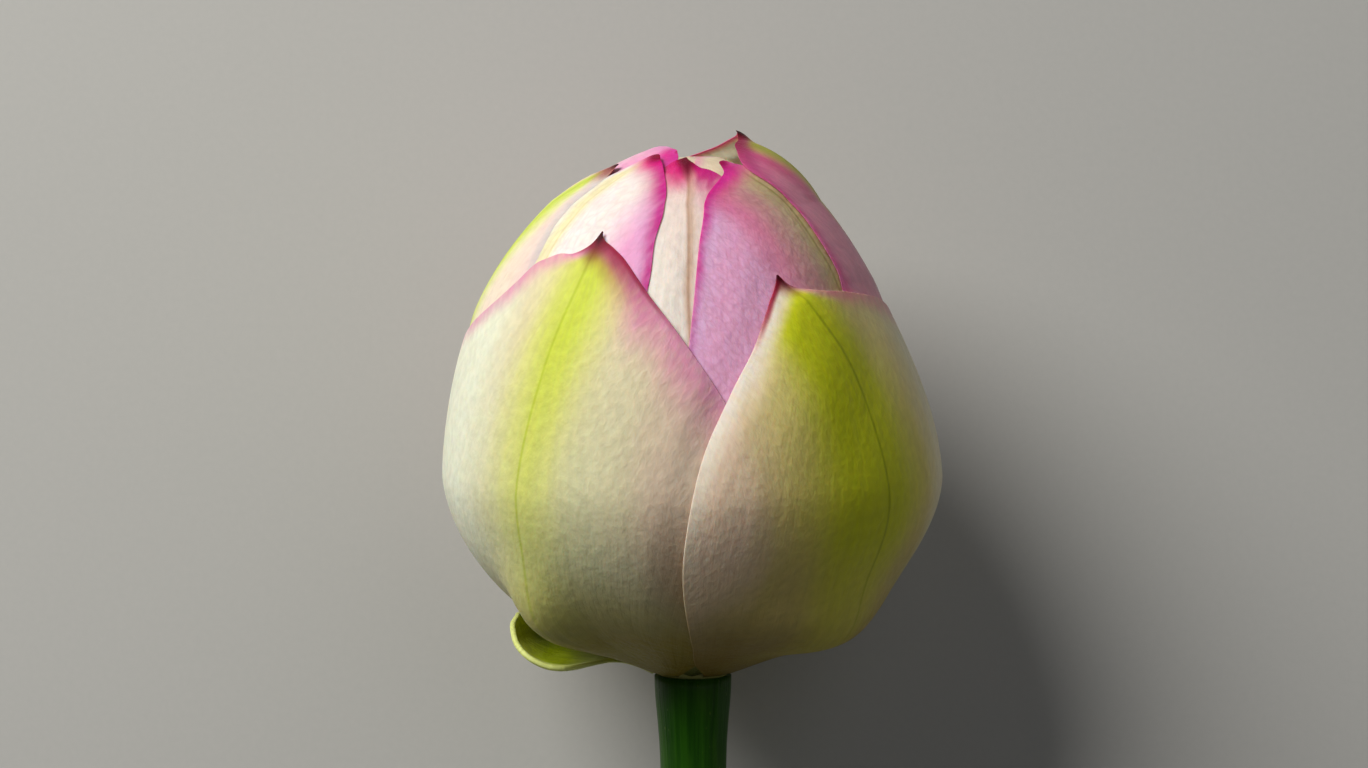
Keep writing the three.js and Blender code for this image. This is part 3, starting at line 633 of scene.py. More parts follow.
def canal_mesh(line):
    """Rods through the cut end, where the air canals are."""
    axis = line[-1] - line[-2]
    axis /= np.linalg.norm(axis)
    side = np.array([1.0, 0, 0]) - axis * axis[0]
    side /= np.linalg.norm(side)
    up = np.cross(side, axis)
    points, faces = [], []
    for kind in CANALS:
        for i in range(kind["count"]):
            turn = 2 * math.pi * (i + kind["first"]) / kind["count"]
            mouth = line[-1] + kind["ring"] * (side * math.cos(turn) + up * math.sin(turn))
            path = [mouth - axis * CANAL_DEPTH, mouth + axis * 2]
            rod, more = tube(path, [kind["radius"]] * 2, CANAL_SIDES, 2 * CANAL_SIDES * len(points))
            points.append(rod)
            faces += more
    return new_mesh("canals", np.concatenate(points), faces)


def bore(stem, cutter_mesh):
    """Cuts the air canals into the stem's end."""
    cutter = placed("canals", cutter_mesh)
    cut = stem.modifiers.new("canals", "BOOLEAN")
    cut.object, cut.operation, cut.solver = cutter, "DIFFERENCE", "EXACT"
    bpy.context.view_layer.update()
    stem.data = bpy.data.meshes.new_from_object(stem.evaluated_get(bpy.context.evaluated_depsgraph_get()))
    stem.modifiers.clear()
    bpy.data.objects.remove(cutter)


def settle(mesh, line, along):
    """Keeps the stem above the floor, and holds the way round it, along it and out from its middle."""
    places = np.array([v.co for v in mesh.vertices])
    places[:, 2] = np.maximum(places[:, 2], 0)
    mesh.vertices.foreach_set("co", places.ravel())
    nearest = np.abs(places[:, None, 1] / MM - line[None, :, 1]).argmin(1)
    offset = places / MM - line[nearest]
    angle = np.arctan2(offset[:, 2], offset[:, 0]) * STEM_RADIUS
    hold(mesh, "round", np.stack([angle, along[nearest], np.hypot(offset[:, 0], offset[:, 2])], -1))


line = stem_line()
along = running(np.linalg.norm(np.diff(line, axis=0), axis=1))
stem = new_piece("stem", "stem", *stem_mesh(line, along))
bore(stem, canal_mesh(line))
settle(stem.data, line, along)

# ---- Receptacle ----

CONE = dict(bottom=14.8, top=28.5, radius=9.2, rim=1.2, sides=120)
NECK_HEIGHTS = (6, 12)
CONE_SIDE = [(0.74, 19.5), (0.92, 24)]
CONE_SHOULDER, CONE_CROWN, CROWN_RINGS = 0.97, 0.93, 44
CARPEL = dict(rise=0.88, radius=1.15, rings=[(0, 1), (3.4, 6), (6.7, 10)])
MOAT = dict(depth=0.25, radius=CARPEL["radius"] * 1.15, spread=0.2)


def carpels(x, y, z):
    """How far the carpels rise from the cone's top, each in its own little moat."""
    lift = np.zeros_like(x)
    for ring, count in CARPEL["rings"]:
        for turn in circle(count):
            distance = np.hypot(x - ring * math.sin(turn), y + ring * math.cos(turn))
            lift += CARPEL["rise"] * np.sqrt(np.maximum(0, 1 - (distance / CARPEL["radius"]) ** 2))
            lift -= MOAT["depth"] * bell(distance - MOAT["radius"], MOAT["spread"])
    return lift * (z > CONE["top"] - 0.2)


def receptacle_mesh():
    foot, top, radius = STEM_TOP + SEAT_GAP, CONE["top"], CONE["radius"]
    neck = [[NECK_RADIUS / 2, foot], *([NECK_RADIUS, height] for height in (foot, *NECK_HEIGHTS))]
    cone = [[NECK_RADIUS + 0.05, CONE["bottom"]], *([radius * share, height] for share, height in CONE_SIDE)]
    shoulder = [[radius, top - CONE["rim"]], [radius * CONE_SHOULDER, top - 0.3]]
    radii = np.linspace(radius * CONE_CROWN, 0.05, CROWN_RINGS)
    crown = np.stack([radii, top + CONE["rim"] / 2 * (1 - (radii / radius) ** 2)], -1)
    profile = np.concatenate([spline(neck + cone + shoulder, 80), crown])
    points = turned_rings(profile, CONE["sides"])
    points[..., 2] += carpels(points[..., 0], points[..., 1], points[..., 2])
    x, y, z = points.reshape(-1, 3).T
    bare = np.stack([np.hypot(x, y), z, np.arctan2(x, y) * 8], -1)
    return lay(points.reshape(-1, 3)), capped_faces(len(profile), CONE["sides"]), dict(bare=bare)


receptacle = new_piece("receptacle", "receptacle", *receptacle_mesh())

# ---- Stamens ----

COLLAR = dict(bottom=12.7, top=14.5, inside=NECK_RADIUS + 0.2, radius=8.0, bevel=0.6, sides=72, steps=24)
STAMEN = dict(count=110, ring=6.9, ring_width=0.8, sink=0.8, shortest=15.0, longest=20.0, anther=6.0,
              sides=7, seed=11)
STAMEN_LEAN = dict(least=3.0, most=6.0, rise=1.55, fall=0.6, swing=0.12)
STAMEN_SHARES = np.array([0, 0.3, 0.55, 0.715, 0.73, 0.76, 0.85, 0.93, 0.955, 0.97, 1.0])
STAMEN_RADII = np.array([0.28, 0.24, 0.22, 0.22, 0.4, 0.58, 0.6, 0.5, 0.24, 0.3, 0.08])
GOLDEN_TURN = math.pi * (3 - math.sqrt(5))


def collar_mesh():
    inside, bottom, top, sides = COLLAR["inside"], COLLAR["bottom"], COLLAR["top"], COLLAR["sides"]
    radius, bevel = COLLAR["radius"], COLLAR["bevel"]
    waist = [[radius - bevel, bottom], [radius, top - bevel], [radius - bevel, top]]
    profile = spline([[inside, bottom], *waist, [inside, top]], COLLAR["steps"])
    points = lay(turned_rings(profile, sides).reshape(-1, 3))
    last = COLLAR["steps"] * sides
    faces = tube_faces(COLLAR["steps"] + 1, sides)
    faces += [(last + k, last + (k + 1) % sides, (k + 1) % sides, k) for k in range(sides)]
    return points, faces


def stamen_path(index, random):
    length = random.uniform(STAMEN["shortest"], STAMEN["longest"])
    lean = random.uniform(STAMEN_LEAN["least"], STAMEN_LEAN["most"])
    share = STAMEN_SHARES[:, None]
    out = STAMEN["ring"] - random.uniform(0, STAMEN["ring_width"])
    out = out + lean * (STAMEN_LEAN["rise"] * share - STAMEN_LEAN["fall"] * share**2)
    turn = GOLDEN_TURN * index + STAMEN_LEAN["swing"] * random.uniform(-1, 1) * share
    height = COLLAR["top"] - STAMEN["sink"] + (length + STAMEN["anther"]) * share
    return lay(np.concatenate([out * np.sin(turn), -out * np.cos(turn), height], 1))


def stamens_mesh():
    """The collar with its stamens, and for each point its share of a stamen's length."""
    random = np.random.default_rng(STAMEN["seed"])
    collar, faces = collar_mesh()
    points, shares = [collar], [np.zeros(len(collar))]
    for i in range(STAMEN["count"]):
        start = sum(len(part) for part in points)
        stamen, more = tube(stamen_path(i, random), STAMEN_RADII, STAMEN["sides"], start)
        points.append(stamen)
        shares.append(np.repeat(STAMEN_SHARES, STAMEN["sides"]))
        faces += more
    return np.concatenate(points), faces, dict(share=np.concatenate(shares))


stamens = new_piece("stamens", "stamens", *stamens_mesh())

# ---- Materials ----


def linear(color):
    """A display colour, 0xRRGGBB, as the linear colour that the shaders use."""
    channels = np.array([color >> 16, color >> 8 & 255, color & 255]) / 255
    return (*np.where(channels <= 0.04045, channels / 12.92, ((channels + 0.055) / 1.055) ** 2.4), 1.0)


class Value:
    """A number or colour in a material's graph. Arithmetic and the methods add nodes after it."""

    def __init__(self, graph, socket):
        self.graph, self.socket = graph, socket

    def math(self, operation, other=0.0):
        return self.graph.node("ShaderNodeMath", {0: self, 1: other}, operation=operation)

    __add__ = partialmethod(math, "ADD")
    __sub__ = partialmethod(math, "SUBTRACT")
    __mul__ = partialmethod(math, "MULTIPLY")
    __truediv__ = partialmethod(math, "DIVIDE")
    __pow__ = partialmethod(math, "POWER")
    __abs__ = partialmethod(math, "ABSOLUTE")

    def span(self, low, high, at_low=0.0, at_high=1.0, **settings):
        """A straight step from at_low to at_high."""
        limits = {0: self, 1: low, 2: high, 3: at_low, 4: at_high}
        return self.graph.node("ShaderNodeMapRange", limits, **settings)

    def fade(self, low, high, at_low=0.0, at_high=1.0):
        """A smooth step from at_low to at_high."""
        return self.span(low, high, at_low, at_high, interpolation_type="SMOOTHSTEP")

    def fall(self, low, high):
        return self.fade(low, high, 1.0, 0.0)

    def ramp(self, stops):
        """A colour that follows (value, linear colour) stops."""
        low, high = stops[0][0], stops[-1][0]
        result = self.graph.node("ShaderNodeValToRGB", {0: self.span(low, high)})
        elements = result.socket.node.color_ramp.elements
        while len(elements) < len(stops):
            elements.new(1.0)
        for element, (place, color) in zip(elements, stops):
            element.position, element.color = (place - low) / (high - low), color
        return result

    def curve(self, points):
        """A number, 0 to 1, that follows (value, number) points."""
        return self.ramp([(x, (y, y, y, 1)) for x, y in points])


class Graph:
    """A material and its node tree."""

    def __init__(self, name):
        self.material = bpy.data.materials.new(name)
        self.material.use_nodes = True
        self.tree = self.material.node_tree

    def join(self, socket, value):
        if isinstance(value, Value):
            self.tree.links.new(value.socket, socket)
        else:
            socket.default_value = value

    def node(self, kind, inputs=(), output=0, **settings):
        node = self.tree.nodes.new(kind)
        for key, value in settings.items():
            setattr(node, key, value)
        for key, value in dict(inputs).items():
            self.join(node.inputs[key], value)
        return Value(self, node.outputs[output])

    def mix(self, share, a, b):
        """From a to b by share. They are Values or display colours."""
        a, b = (color if isinstance(color, Value) else linear(color) for color in (a, b))
        return self.node("ShaderNodeMix", {0: share, 6: a, 7: b}, output=2, data_type="RGBA")

    def vector(self, x, y, z=0.0):
        return self.node("ShaderNodeCombineXYZ", {0: x, 1: y, 2: z})

    def noise(self, place, detail=2.0, rough=0.5, scale=1.0):
        inputs = {"Vector": place, "Scale": scale, "Detail": detail, "Roughness": rough}
        return self.node("ShaderNodeTexNoise", inputs)

    def cells(self, place, feature="SMOOTH_F1"):
        return self.node("ShaderNodeTexVoronoi", {"Vector": place, "Scale": 1.0}, "Distance", feature=feature)

    def number(self, name):
        """The number that the mesh holds under this name."""
        return self.node("ShaderNodeAttribute", output="Fac", attribute_name=name)

    def numbers(self, name):
        """The three numbers that the mesh holds under this name."""
        vector = self.node("ShaderNodeAttribute", output="Vector", attribute_name=name)
        split = self.node("ShaderNodeSeparateXYZ", {0: vector})
        return [Value(self, socket) for socket in split.socket.node.outputs]

    def bump(self, height, distance, strength=1.0, normal=None):
        inputs = {"Height": height, "Distance": distance, "Strength": strength}
        if normal is not None:
            inputs["Normal"] = normal
        return self.node("ShaderNodeBump", inputs)

    def finish(self, **inputs):
        """Sets inputs of the shader, which are named in plain small letters here."""
        shader = self.tree.nodes["Principled BSDF"]
        for key, value in inputs.items():
            self.join(shader.inputs[key.replace("_", " ").title().replace("Ior", "IOR")], value)
        return self.material


# Petal feet: their own green, made darker as painted shade for the notch between the front petals' feet above
# the stem.
FOOT_GREEN_AND_SHADE = [(0, 0x4A5014), (5, 0x787C38)]
PINK_LINE, CRIMSON, DARK_TIP, THREADS = 0x961950, 0x9E1E42, 0x32020C, 0xB83C80
WIDEST = 20

# Lengths are millimetres. base is a list of (way up, colour). A side is (tint, from, to, strength) and fades
# in across the petal. band runs along the midrib: (colour, its middle's colour, way to the right, widths,
# strengths), both as lists of (way up, value). A pink margin is (colour, width, strengths) and a crimson one
# (colour, width, way from the tip). side and pink hold on both sides. The painted shadow that the front right
# petal's margin casts on the front left one is (tint, from, to) across and where it ends on the way up. The
# tip is coloured as far as its reach and dark as far as its core.
LOOKS = {}

LOOKS["petal_front_left"] = dict(
    # Darker and browner towards the foot. This is partly the petal's own olive base and partly painted shade,
    # where the lower bud turns away from the light.
    base=[(0, 0x7A6A16), (9, 0x8E7C26), (18, 0xA4923E), (26, 0xC2BA78), (36, 0xD9D8AC), (50, 0xE1DEB6),
          (75, 0xE6DAB6)],
    # The dark brown tint low on the right is painted shadow from the front right petal's margin.
    right_side=(0xE2C6B8, 11, 25, 0.7), left_side=(0xF0F3DD, 5, 17, 0.85), fold=(0xB2844C, 17, 26, 30, 50),
    band=(0xE2E370, 0xCCDC2C, 1.3, [(0, 6), (40, 11), (70, 11.5), (92, 10)],
          [(0, 0), (18, 0.15), (40, 0.5), (55, 0.72), (70, 0.95), (95, 1)]),
    pink_right=(0xE48CB8, 8, [(0, 0), (28, 0.05), (44, 0.6), (60, 0.9), (95, 1)]),
    pink_left=(0xE88CB4, 3, [(0, 0), (50, 0.1), (64, 0.8), (95, 0.9)]), crimson_right=(CRIMSON, 6.5, 21),
    crimson_left=(CRIMSON, 1, 7), line_right=28,
    tip=dict(reach=8.4, color=0x7C0C28, dark=0x3C000E, core=3.4, wedge=1.3), midrib=0xB8C824,
)
LOOKS["petal_front_right"] = dict(
    # Darker and browner towards the foot. This is partly the petal's own olive base and partly painted shade,
    # where the lower bud turns away from the light.
    base=[(0, 0x725E16), (10, 0x8A7226), (19, 0x9E8848), (28, 0xC8B670), (45, 0xE8D682), (70, 0xF4E2A6)],
    # Whiter towards the left margin. This is partly the petal's own pale rim and partly painted light, where
    # the rolled margin faces the lamp.
    right_side=(0xF0E6C8, 9, 20, 0.8), left_side=(0xF8DAC6, 16, 26, 0.85), flat=0.2,
    band=(0xE2DE3E, 0xCED800, -2.8, [(0, 5), (24, 9), (45, 18.5), (60, 16), (84, 9)],
          [(0, 0), (14, 0.1), (26, 0.4), (40, 0.9), (60, 1), (90, 1)]),
    pink_right=(0xF096A6, 3.4, [(0, 0), (40, 0.1), (60, 0.85), (95, 1)]),
    pink_left=(0xFFE6D8, 4.4, [(0, 0), (25, 0.1), (45, 0.6), (60, 1), (90, 1)]),
    crimson_right=(CRIMSON, 2.6, 6), crimson_left=(CRIMSON, 0.7, 12), line_left=16,
    tip=dict(reach=6, color=0x840E2E, dark=0x3C000E, core=2.8, wedge=0.9), midrib=0x929E0E,
)
LOOKS["petal_left"] = dict(
    base=[(0, 0xCEC48C), (20, 0xE6DEBC), (60, 0xF4ECDE), (90, 0xF6E6CE)], right_side=(0xF7E0CC, 2, 9, 0.85),
    left_side=(0xECE2CE, 6, 22, 0.6),
    band=(0xE2EC78, 0xC4DA32, 0, [(0, 5), (40, 9), (80, 10), (100, 7)],
          [(0, 0), (30, 0.3), (60, 0.8), (78, 1), (100, 1)]),
    pink_right=(0xF4CACC, 5, [(0, 0), (40, 0.3), (60, 0.8), (100, 0.6)]),
    pink_left=(0xE096AA, 4, [(0, 0), (50, 0.1), (64, 0.8), (95, 0.9)]), tip=dict(reach=5.6, color=0x8C362C),
    midrib=0xB4BE5A,
)
LOOKS["petal_right"] = dict(
    base=[(0, 0xCEC08C), (20, 0xE6D6AC), (60, 0xEABEBE), (84, 0xE4A0B4), (100, 0xD8608C)],
    right_side=(0xE2CE96, 4, 16, 0.7), left_side=(0xE89CB2, 10, 16, 0.7),
    band=(0xCECA60, 0xA0AA18, -3, [(0, 6), (40, 9), (80, 9), (105, 8)],
          [(0, 0.2), (30, 0.4), (60, 0.6), (85, 0.9), (105, 1)]),
    pink_right=(0xEC6E96, 2.4, [(0, 0), (50, 0.1), (70, 0.8), (100, 1)]),
    pink_left=(0xD65096, 5, [(0, 0), (50, 0.3), (70, 0.7), (105, 1)]), crimson_left=(0x7C062C, 4.5, 22),
    net=0.5, tip=dict(reach=3.8, color=0x701026), midrib=0xAAAA46,
)
LOOKS["outer"] = dict(
    base=[(0, 0xCCBE78), (18, 0xE6D8AA), (60, 0xF0E4CC), (90, 0xF2DED4)], right_side=(0xEED4CC, 8, 24, 0.5),
    left_side=(0xEEE8D6, 8, 24, 0.6),
    band=(0xDEE260, 0xBED224, 0, [(0, 5), (40, 10), (70, 11), (90, 6)],
          [(0, 0), (18, 0.3), (45, 0.8), (90, 1)]),
    pink=(0xE482AC, 5, [(0, 0), (30, 0.1), (50, 0.6), (95, 0.9)]), crimson_right=(CRIMSON, 2.6, 9),
    line_right=14, tip=dict(reach=4.2, color=0x781A28), midrib=0x96A028,
)
LOOKS["petal_inner_left"] = dict(
    base=FOOT_GREEN_AND_SHADE + [(14, 0xECE4BE), (40, 0xFAF2E8), (70, 0xFCF6F2), (100, 0xFCE8E2)],
    right_side=(0xF6A6D6, 6, 15, 0.9), left_side=(0xFCF8F0, 4, 16, 0.8),
    band=(0xF8F0C8, 0xF0E4A0, -1.2, [(0, 3), (60, 4), (100, 4)],
          [(0, 0), (50, 0.3), (80, 0.8), (100, 0.8)]),
    pink_right=(0xE01E90, 1.4, [(0, 0), (40, 0.5), (60, 0.9), (105, 1)]),
    pink_left=(0xF4BEC8, 1.5, [(0, 0), (60, 0.1), (80, 0.5), (105, 0.9)]),
    crimson_right=(0xE00E86, 3.4, 17), net=0.5,
    tip=dict(reach=5.4, color=0xE2007C, dark=0x800030, core=2.8), midrib=0xE2D496,
)
LOOKS["petal_inner_right"] = dict(
    base=FOOT_GREEN_AND_SHADE + [(14, 0xEADEBA), (40, 0xECC8CA), (70, 0xE4A4B4), (100, 0xEC7AAC)],
    right_side=(0xC6B296, -12, 1, 0.9), left_side=(0xFCBEE4, 6, 15, 0.9),
    band=(0xE2D0A0, 0xCEBE78, 0.3, [(0, 3), (60, 5), (100, 5)],
          [(0, 0), (50, 0.4), (80, 0.85), (100, 0.7)]),
    pink_right=(0xE6B4BA, 3, [(0, 0), (60, 0.1), (80, 0.5), (105, 0.9)]),
    pink_left=(0xE4289E, 1, [(0, 0), (50, 0.3), (74, 0.6), (88, 1), (105, 1)]),
    crimson_left=(0xD81080, 3.2, 13), net=1, tip=dict(reach=8, color=0xE8329C, dark=0xA00054, core=2.2),
    midrib=0x968C3C,
)
LOOKS["petal_inner_front"] = dict(
    base=FOOT_GREEN_AND_SHADE + [(14, 0xEEE4BE), (40, 0xF3E8DA), (75, 0xF3E7DE), (94, 0xF4DED6), (99, 0xDE408E),
                       (104, 0xCA086C)],
    right_side=(0xF3D0CE, 2, 7, 0.6), left_side=(0xF6ECE2, 1, 5, 0.6),
    band=(0xE4C6B0, 0xC89E84, 0.2, [(0, 1.4), (60, 1.5), (104, 1.4)],
          [(0, 0), (40, 0.4), (80, 0.7), (100, 0.5)]),
    pink_right=(0xC81482, 8, [(0, 0), (83, 0), (91, 0.9), (104, 1)]),
    pink_left=(0xD60C72, 7, [(0, 0), (91, 0), (98, 0.95), (104, 1)]),
    tip=dict(reach=9, color=0xBE0258, dark=0x680024, core=8, wedge=2.5), midrib=0xB89074,
)
LOOKS["petal_inner_back_left"] = dict(
    base=FOOT_GREEN_AND_SHADE + [(14, 0xECE4BE), (40, 0xF6EADC), (80, 0xF8E2DE), (106, 0xF6BED6), (118, 0xF06EBA),
                       (126, 0xE01E8C)],
    right_side=(0xEC6EB4, 1, 7, 0.8), left_side=(0xECB4C8, 1, 6, 0.8),
    band=(0xF6D6DE, 0xF6D6DE, 0, [(0, 3), (60, 3), (126, 2)], [(0, 0), (50, 0.3), (80, 0.5), (126, 0)]),
    pink_right=(0xE23296, 3, [(0, 0), (50, 0.3), (70, 0.8), (126, 1)]),
    pink_left=(0xF096C4, 3, [(0, 0), (50, 0.3), (70, 0.6), (126, 0.8)]),
    tip=dict(reach=4, color=0xDE1E8C, dark=0xCC0A74, core=0.5), midrib=0xECAABE,
)
LOOKS["core"] = dict(
    base=FOOT_GREEN_AND_SHADE + [(14, 0xE8E0B8), (60, 0xECE4C0), (100, 0xE8D6B8)], side=(0xF0D6CC, 4, 16, 0.6),
    band=(0xECE6B4, 0xDCD28C, 0, [(0, 3), (100, 3)], [(0, 0), (50, 0.3), (80, 0.7), (100, 0.3)]),
    pink=(0xEC96B4, 1.6, [(0, 0), (50, 0.3), (70, 0.8), (105, 0.9)]),
    tip=dict(reach=3, color=0xEAAAB0, dark=0xE27896, core=1), midrib=0xD6CC8C,
)
LOOKS["inner"] = dict(
    base=FOOT_GREEN_AND_SHADE + [(14, 0xECE4BE), (40, 0xF4E8D8), (70, 0xF6DADE), (100, 0xF096C8)],
    side=(0xF0BED6, 4, 16, 0.6),
    band=(0xF0E6B8, 0xDCCE82, 0, [(0, 3), (100, 3)], [(0, 0), (50, 0.3), (80, 0.7), (100, 0.5)]),
    pink=(0xDE3C9C, 5, [(0, 0), (50, 0.3), (70, 0.8), (105, 1)]), net=0.4,
    tip=dict(reach=5, color=0xBE146E, dark=0x6E063C), midrib=0xD6C482,
)


def petal_material(name, look, seed):
    g = Graph(name)
    across, rise, tip = g.numbers("petal")
    to_left, to_right, inside = g.numbers("margin")
    wander = g.noise(g.vector(across * 0.25, rise * 0.05, seed), 3.0) - 0.5
    flow = (to_left - to_right) / (to_left + to_right + 0.01) * 24
    streaks = g.noise(g.vector(flow * 1.1, rise * 0.03, seed), 4.0, 0.6)
    veins = g.noise(g.vector(flow * 3.2, rise * 0.09, seed + 7), 3.0, 0.55)
    bent = across + wander * 1.2
    net = g.cells(g.vector(bent * 0.95, rise * 0.75, seed))
    mesh = g.cells(g.vector(bent * 0.85, rise * 0.6, seed + 2), "DISTANCE_TO_EDGE")
    lumps = g.noise(g.vector(bent * 0.9, rise * 0.66, seed + 3), 1.5)
    glisten = g.noise(g.vector(bent * 4, rise * 2.4, seed + 5))

    color = rise.ramp([(height, linear(color)) for height, color in look["base"]])
    for key, sign in (("right_side", 1), ("left_side", -1)):
        tint, near, far, strength = look.get(key) or look["side"]
        mask = (across * sign + wander * 6).fade(near, far) * rise.fade(14, 42) * strength
        color = g.mix(mask, color, tint)
    # Painted shadow: the front right petal's margin shades the lower right of the front left petal.
    if "fold" in look:
        tint, near, far, low, high = look["fold"]
        color = g.mix(across.fade(near, far) * rise.fade(low, high, 0.5, 0), color, tint)

    for key, to_edge in (("pink_right", to_right), ("pink_left", to_left)):
        tint, width, strengths = look.get(key) or look["pink"]
        fading = (to_edge - wander * (width * 0.8)).fall(0, width * 1.6) ** 1.6
        broken = (net + streaks * 0.5).fade(0.25, 0.95, 0.72, 1)
        color = g.mix(fading * rise.curve(strengths) * broken, color, tint)

    tint, deep, offset, widths, strengths = look["band"]
    width = rise.curve([(height, wide / WIDEST) for height, wide in widths]) * WIDEST
    edge = to_left.math("MINIMUM", to_right)
    share = (abs(across - offset + wander * 2.5) / width).fall(look.get("flat", 0), 1) * edge.fade(0.6, 3.4)
    strength = rise.curve(strengths)
    color = g.mix(share * strength * streaks.fade(0.2, 0.75, 0.78, 1), color, tint)
    color = g.mix(share**2.4 * strength**1.8 * 0.8, color, deep)
    line = abs(across + wander * 0.35).fall(0, 0.42) * rise.fade(12, 40) * tip.fade(2, 8)
    color = g.mix(line * 0.6, color, look["midrib"])
    if "net" in look:
        color = g.mix(mesh.fall(0.02, 0.2) * rise.fade(40, 60) * (look["net"] * 0.14), color, THREADS)

    for key, to_edge in (("line_right", to_right), ("line_left", to_left)):
        if key in look:
            reach = tip.fall(look[key] * 0.4, look[key])
            color = g.mix(to_edge.fall(0.15, 0.8) * reach * 0.85, color, PINK_LINE)
    for key, to_edge in (("crimson_right", to_right), ("crimson_left", to_left)):
        if key in look:
            tint, width, far = look[key]
            mask = (to_edge - wander * (width * 0.5)).fall(0, width) * tip.fall(far * 0.25, far) * 0.9
            color = g.mix(mask, color, tint)
    end = look["tip"]
    far, core = end["reach"], end.get("core", 2)
    distance = tip - wander * 1.5 + abs(across) * end.get("wedge", 0)
    color = g.mix(distance.fade(far * 0.3, far, 0.85, 0), color, end["color"])
    color = g.mix(distance.fall(core * 0.3, core), color, end.get("dark", DARK_TIP))

    # Inner faces: cream, pink towards the tip and margins. The cream is partly their own colour and partly
    # painted light, lightened for inner faces that lie in shade.
    inner = g.mix(tip.fade(0, 7, 0.6, 0), 0xFAF6DE, 0xE05A9C)
    inner = g.mix(edge.fall(0, 1.8) * rise.fade(30, 60), inner, 0xF060A0)
    color = g.mix(inside.fade(0.55, 0.9) * tip.fade(1, 4), color, inner)

    tone = (lumps * 0.6 + streaks * 0.4).fade(0.3, 0.7, 0.92, 1.05)
    color = g.node("ShaderNodeVectorMath", {0: color, "Scale": tone}, operation="SCALE")
    ribs = g.bump(veins, 0.0001, 0.15)
    ribs = g.bump(streaks * rise.fade(16, 58, 0.9, 0.2), 0.0008, 0.28, ribs)
    ribs = g.bump(lumps, 0.0008, 0.2, ribs)
    return g.finish(
        base_color=color, roughness=glisten.fade(0.3, 0.7, 0.42, 0.6), ior=1.4, specular_ior_level=0.22,
        subsurface_weight=0.7, subsurface_radius=(1.0, 0.7, 0.5), subsurface_scale=0.0007,
        normal=g.bump(glisten, 0.00008, 0.5, ribs),
    )


def sepal_material():
    g = Graph("sepal")
    across, rise, rim = g.numbers("sepal")
    veins = g.noise(g.vector(across * 1.6, rise * 0.12), 4.0, 0.6)
    spots = g.noise(g.vector(across * 0.5, rise * 0.5), 3.0)
    color = g.mix(veins.fade(0.3, 0.7), 0x8A9E02, 0xA8B808)
    # Painted light: paler towards the foot end, where light falls on the sepal's inner face.
    color = g.mix(rise.fade(5, 15, 0.9, 0), color, 0xE2EA96)
    color = g.mix(g.number("inside").fade(0.3, 0.7), g.mix(spots, 0xBAC868, 0xCCD484), color)
    # Painted light: lighter yellow-green towards the upper end, which lies in the shadow of the front left
    # petal.
    color = g.mix(rise.fade(17, 24, 0, 0.75), color, 0xE2EC54)
    color = g.mix(rim.fall(0.3, 2.2), color, 0xE2EC8C)
    return g.finish(
        base_color=color, roughness=spots.fade(0.2, 0.8, 0.4, 0.55), ior=1.4, specular_ior_level=0.4,
        subsurface_weight=0.3, subsurface_radius=(1.0, 1.0, 0.4), subsurface_scale=0.002,
        normal=g.bump(veins + spots * 0.6, 0.0005, 0.6),
    )


def stem_material():
    g = Graph("stem")
    angle, along, outness = g.numbers("round")
    ribs = g.noise(g.vector(angle * 1.3, along * 0.03), 4.0, 0.6)
    patches = g.noise(g.vector(angle * 0.25, along * 0.06), 3.0)
    dots = g.cells(g.vector(angle * 0.8, along * 0.45), "F1")
    # Dark greens: the stem's own green, darkened further as painted shade for the dim light the stem lies in.
    color = g.mix(ribs.fade(0.3, 0.7), 0x164602, 0x2C6208)
    color = g.mix(patches.fade(0.45, 0.75) * 0.6, color, 0x42740C)
    color = g.mix(dots.fall(0.06, 0.16) * 0.55, color, 0x608022)
    color = g.mix(along.fade(0, 9, 0.35, 0), color, 0x305006)
    flesh = g.mix(outness.fade(3.4, 4.5), 0xCED6A0, 0x96B060)
    color = g.mix(outness.fall(4.48, 4.62), color, flesh)
    return g.finish(
        base_color=color, roughness=patches.fade(0.2, 0.8, 0.36, 0.5), ior=1.45, specular_ior_level=0.25,
        subsurface_weight=0.12, subsurface_radius=(0.7, 1.0, 0.3), subsurface_scale=0.002,
        normal=g.bump(dots.fall(0, 0.16), 0.00025, 0.6, g.bump(ribs, 0.0004, 0.6)),
    )


def receptacle_material():
    g = Graph("receptacle")
    _, height, way_round = g.numbers("bare")
    grain = g.noise(g.vector(way_round * 0.8, height * 0.15), 4.0, 0.6)
    color = g.mix(grain, 0xC4C460, 0xDED88C)
    color = g.mix(height.fade(CONE["top"], CONE["top"] + 0.9), color, 0xE8D05C)
    color = g.mix(height.fade(CONE["top"] + 0.95, CONE["top"] + 1.4), color, 0xB0963C)
    return g.finish(
        base_color=color, roughness=grain.fade(0.2, 0.8, 0.5, 0.65),
        subsurface_weight=0.1, subsurface_radius=(1.0, 0.9, 0.4), subsurface_scale=0.0015,
        normal=g.bump(grain, 0.0004, 0.6),
    )


def stamen_material():
    g = Graph("stamens")
    grain = g.noise(g.node("ShaderNodeTexCoord", output="Object"), 3.0, 0.6, 2600.0)
    filament = [(0, 0xECE2A0), (0.71, 0xF6EEC4)]
    anther = [(0.735, 0xECBA28), (0.94, 0xF0C43C), (0.965, 0xFCF6E2)]
    color = g.number("share").ramp([(share, linear(color)) for share, color in filament + anther])
    color = g.mix(grain * 0.25, color, 0xCE961E)
    return g.finish(
        base_color=color, roughness=grain.fade(0.2, 0.8, 0.6, 0.8), normal=g.bump(grain, 0.0002, 0.5)
    )


def floor_material():
    g = Graph("floor")
    grain = g.noise(g.node("ShaderNodeTexCoord", output="Object"), 4.0, 0.6, 900.0)
    color = g.mix(grain, 0xB8B8B5, 0xC0BFBC)
    return g.finish(base_color=color, roughness=grain.fade(0.2, 0.8, 0.75, 0.85))


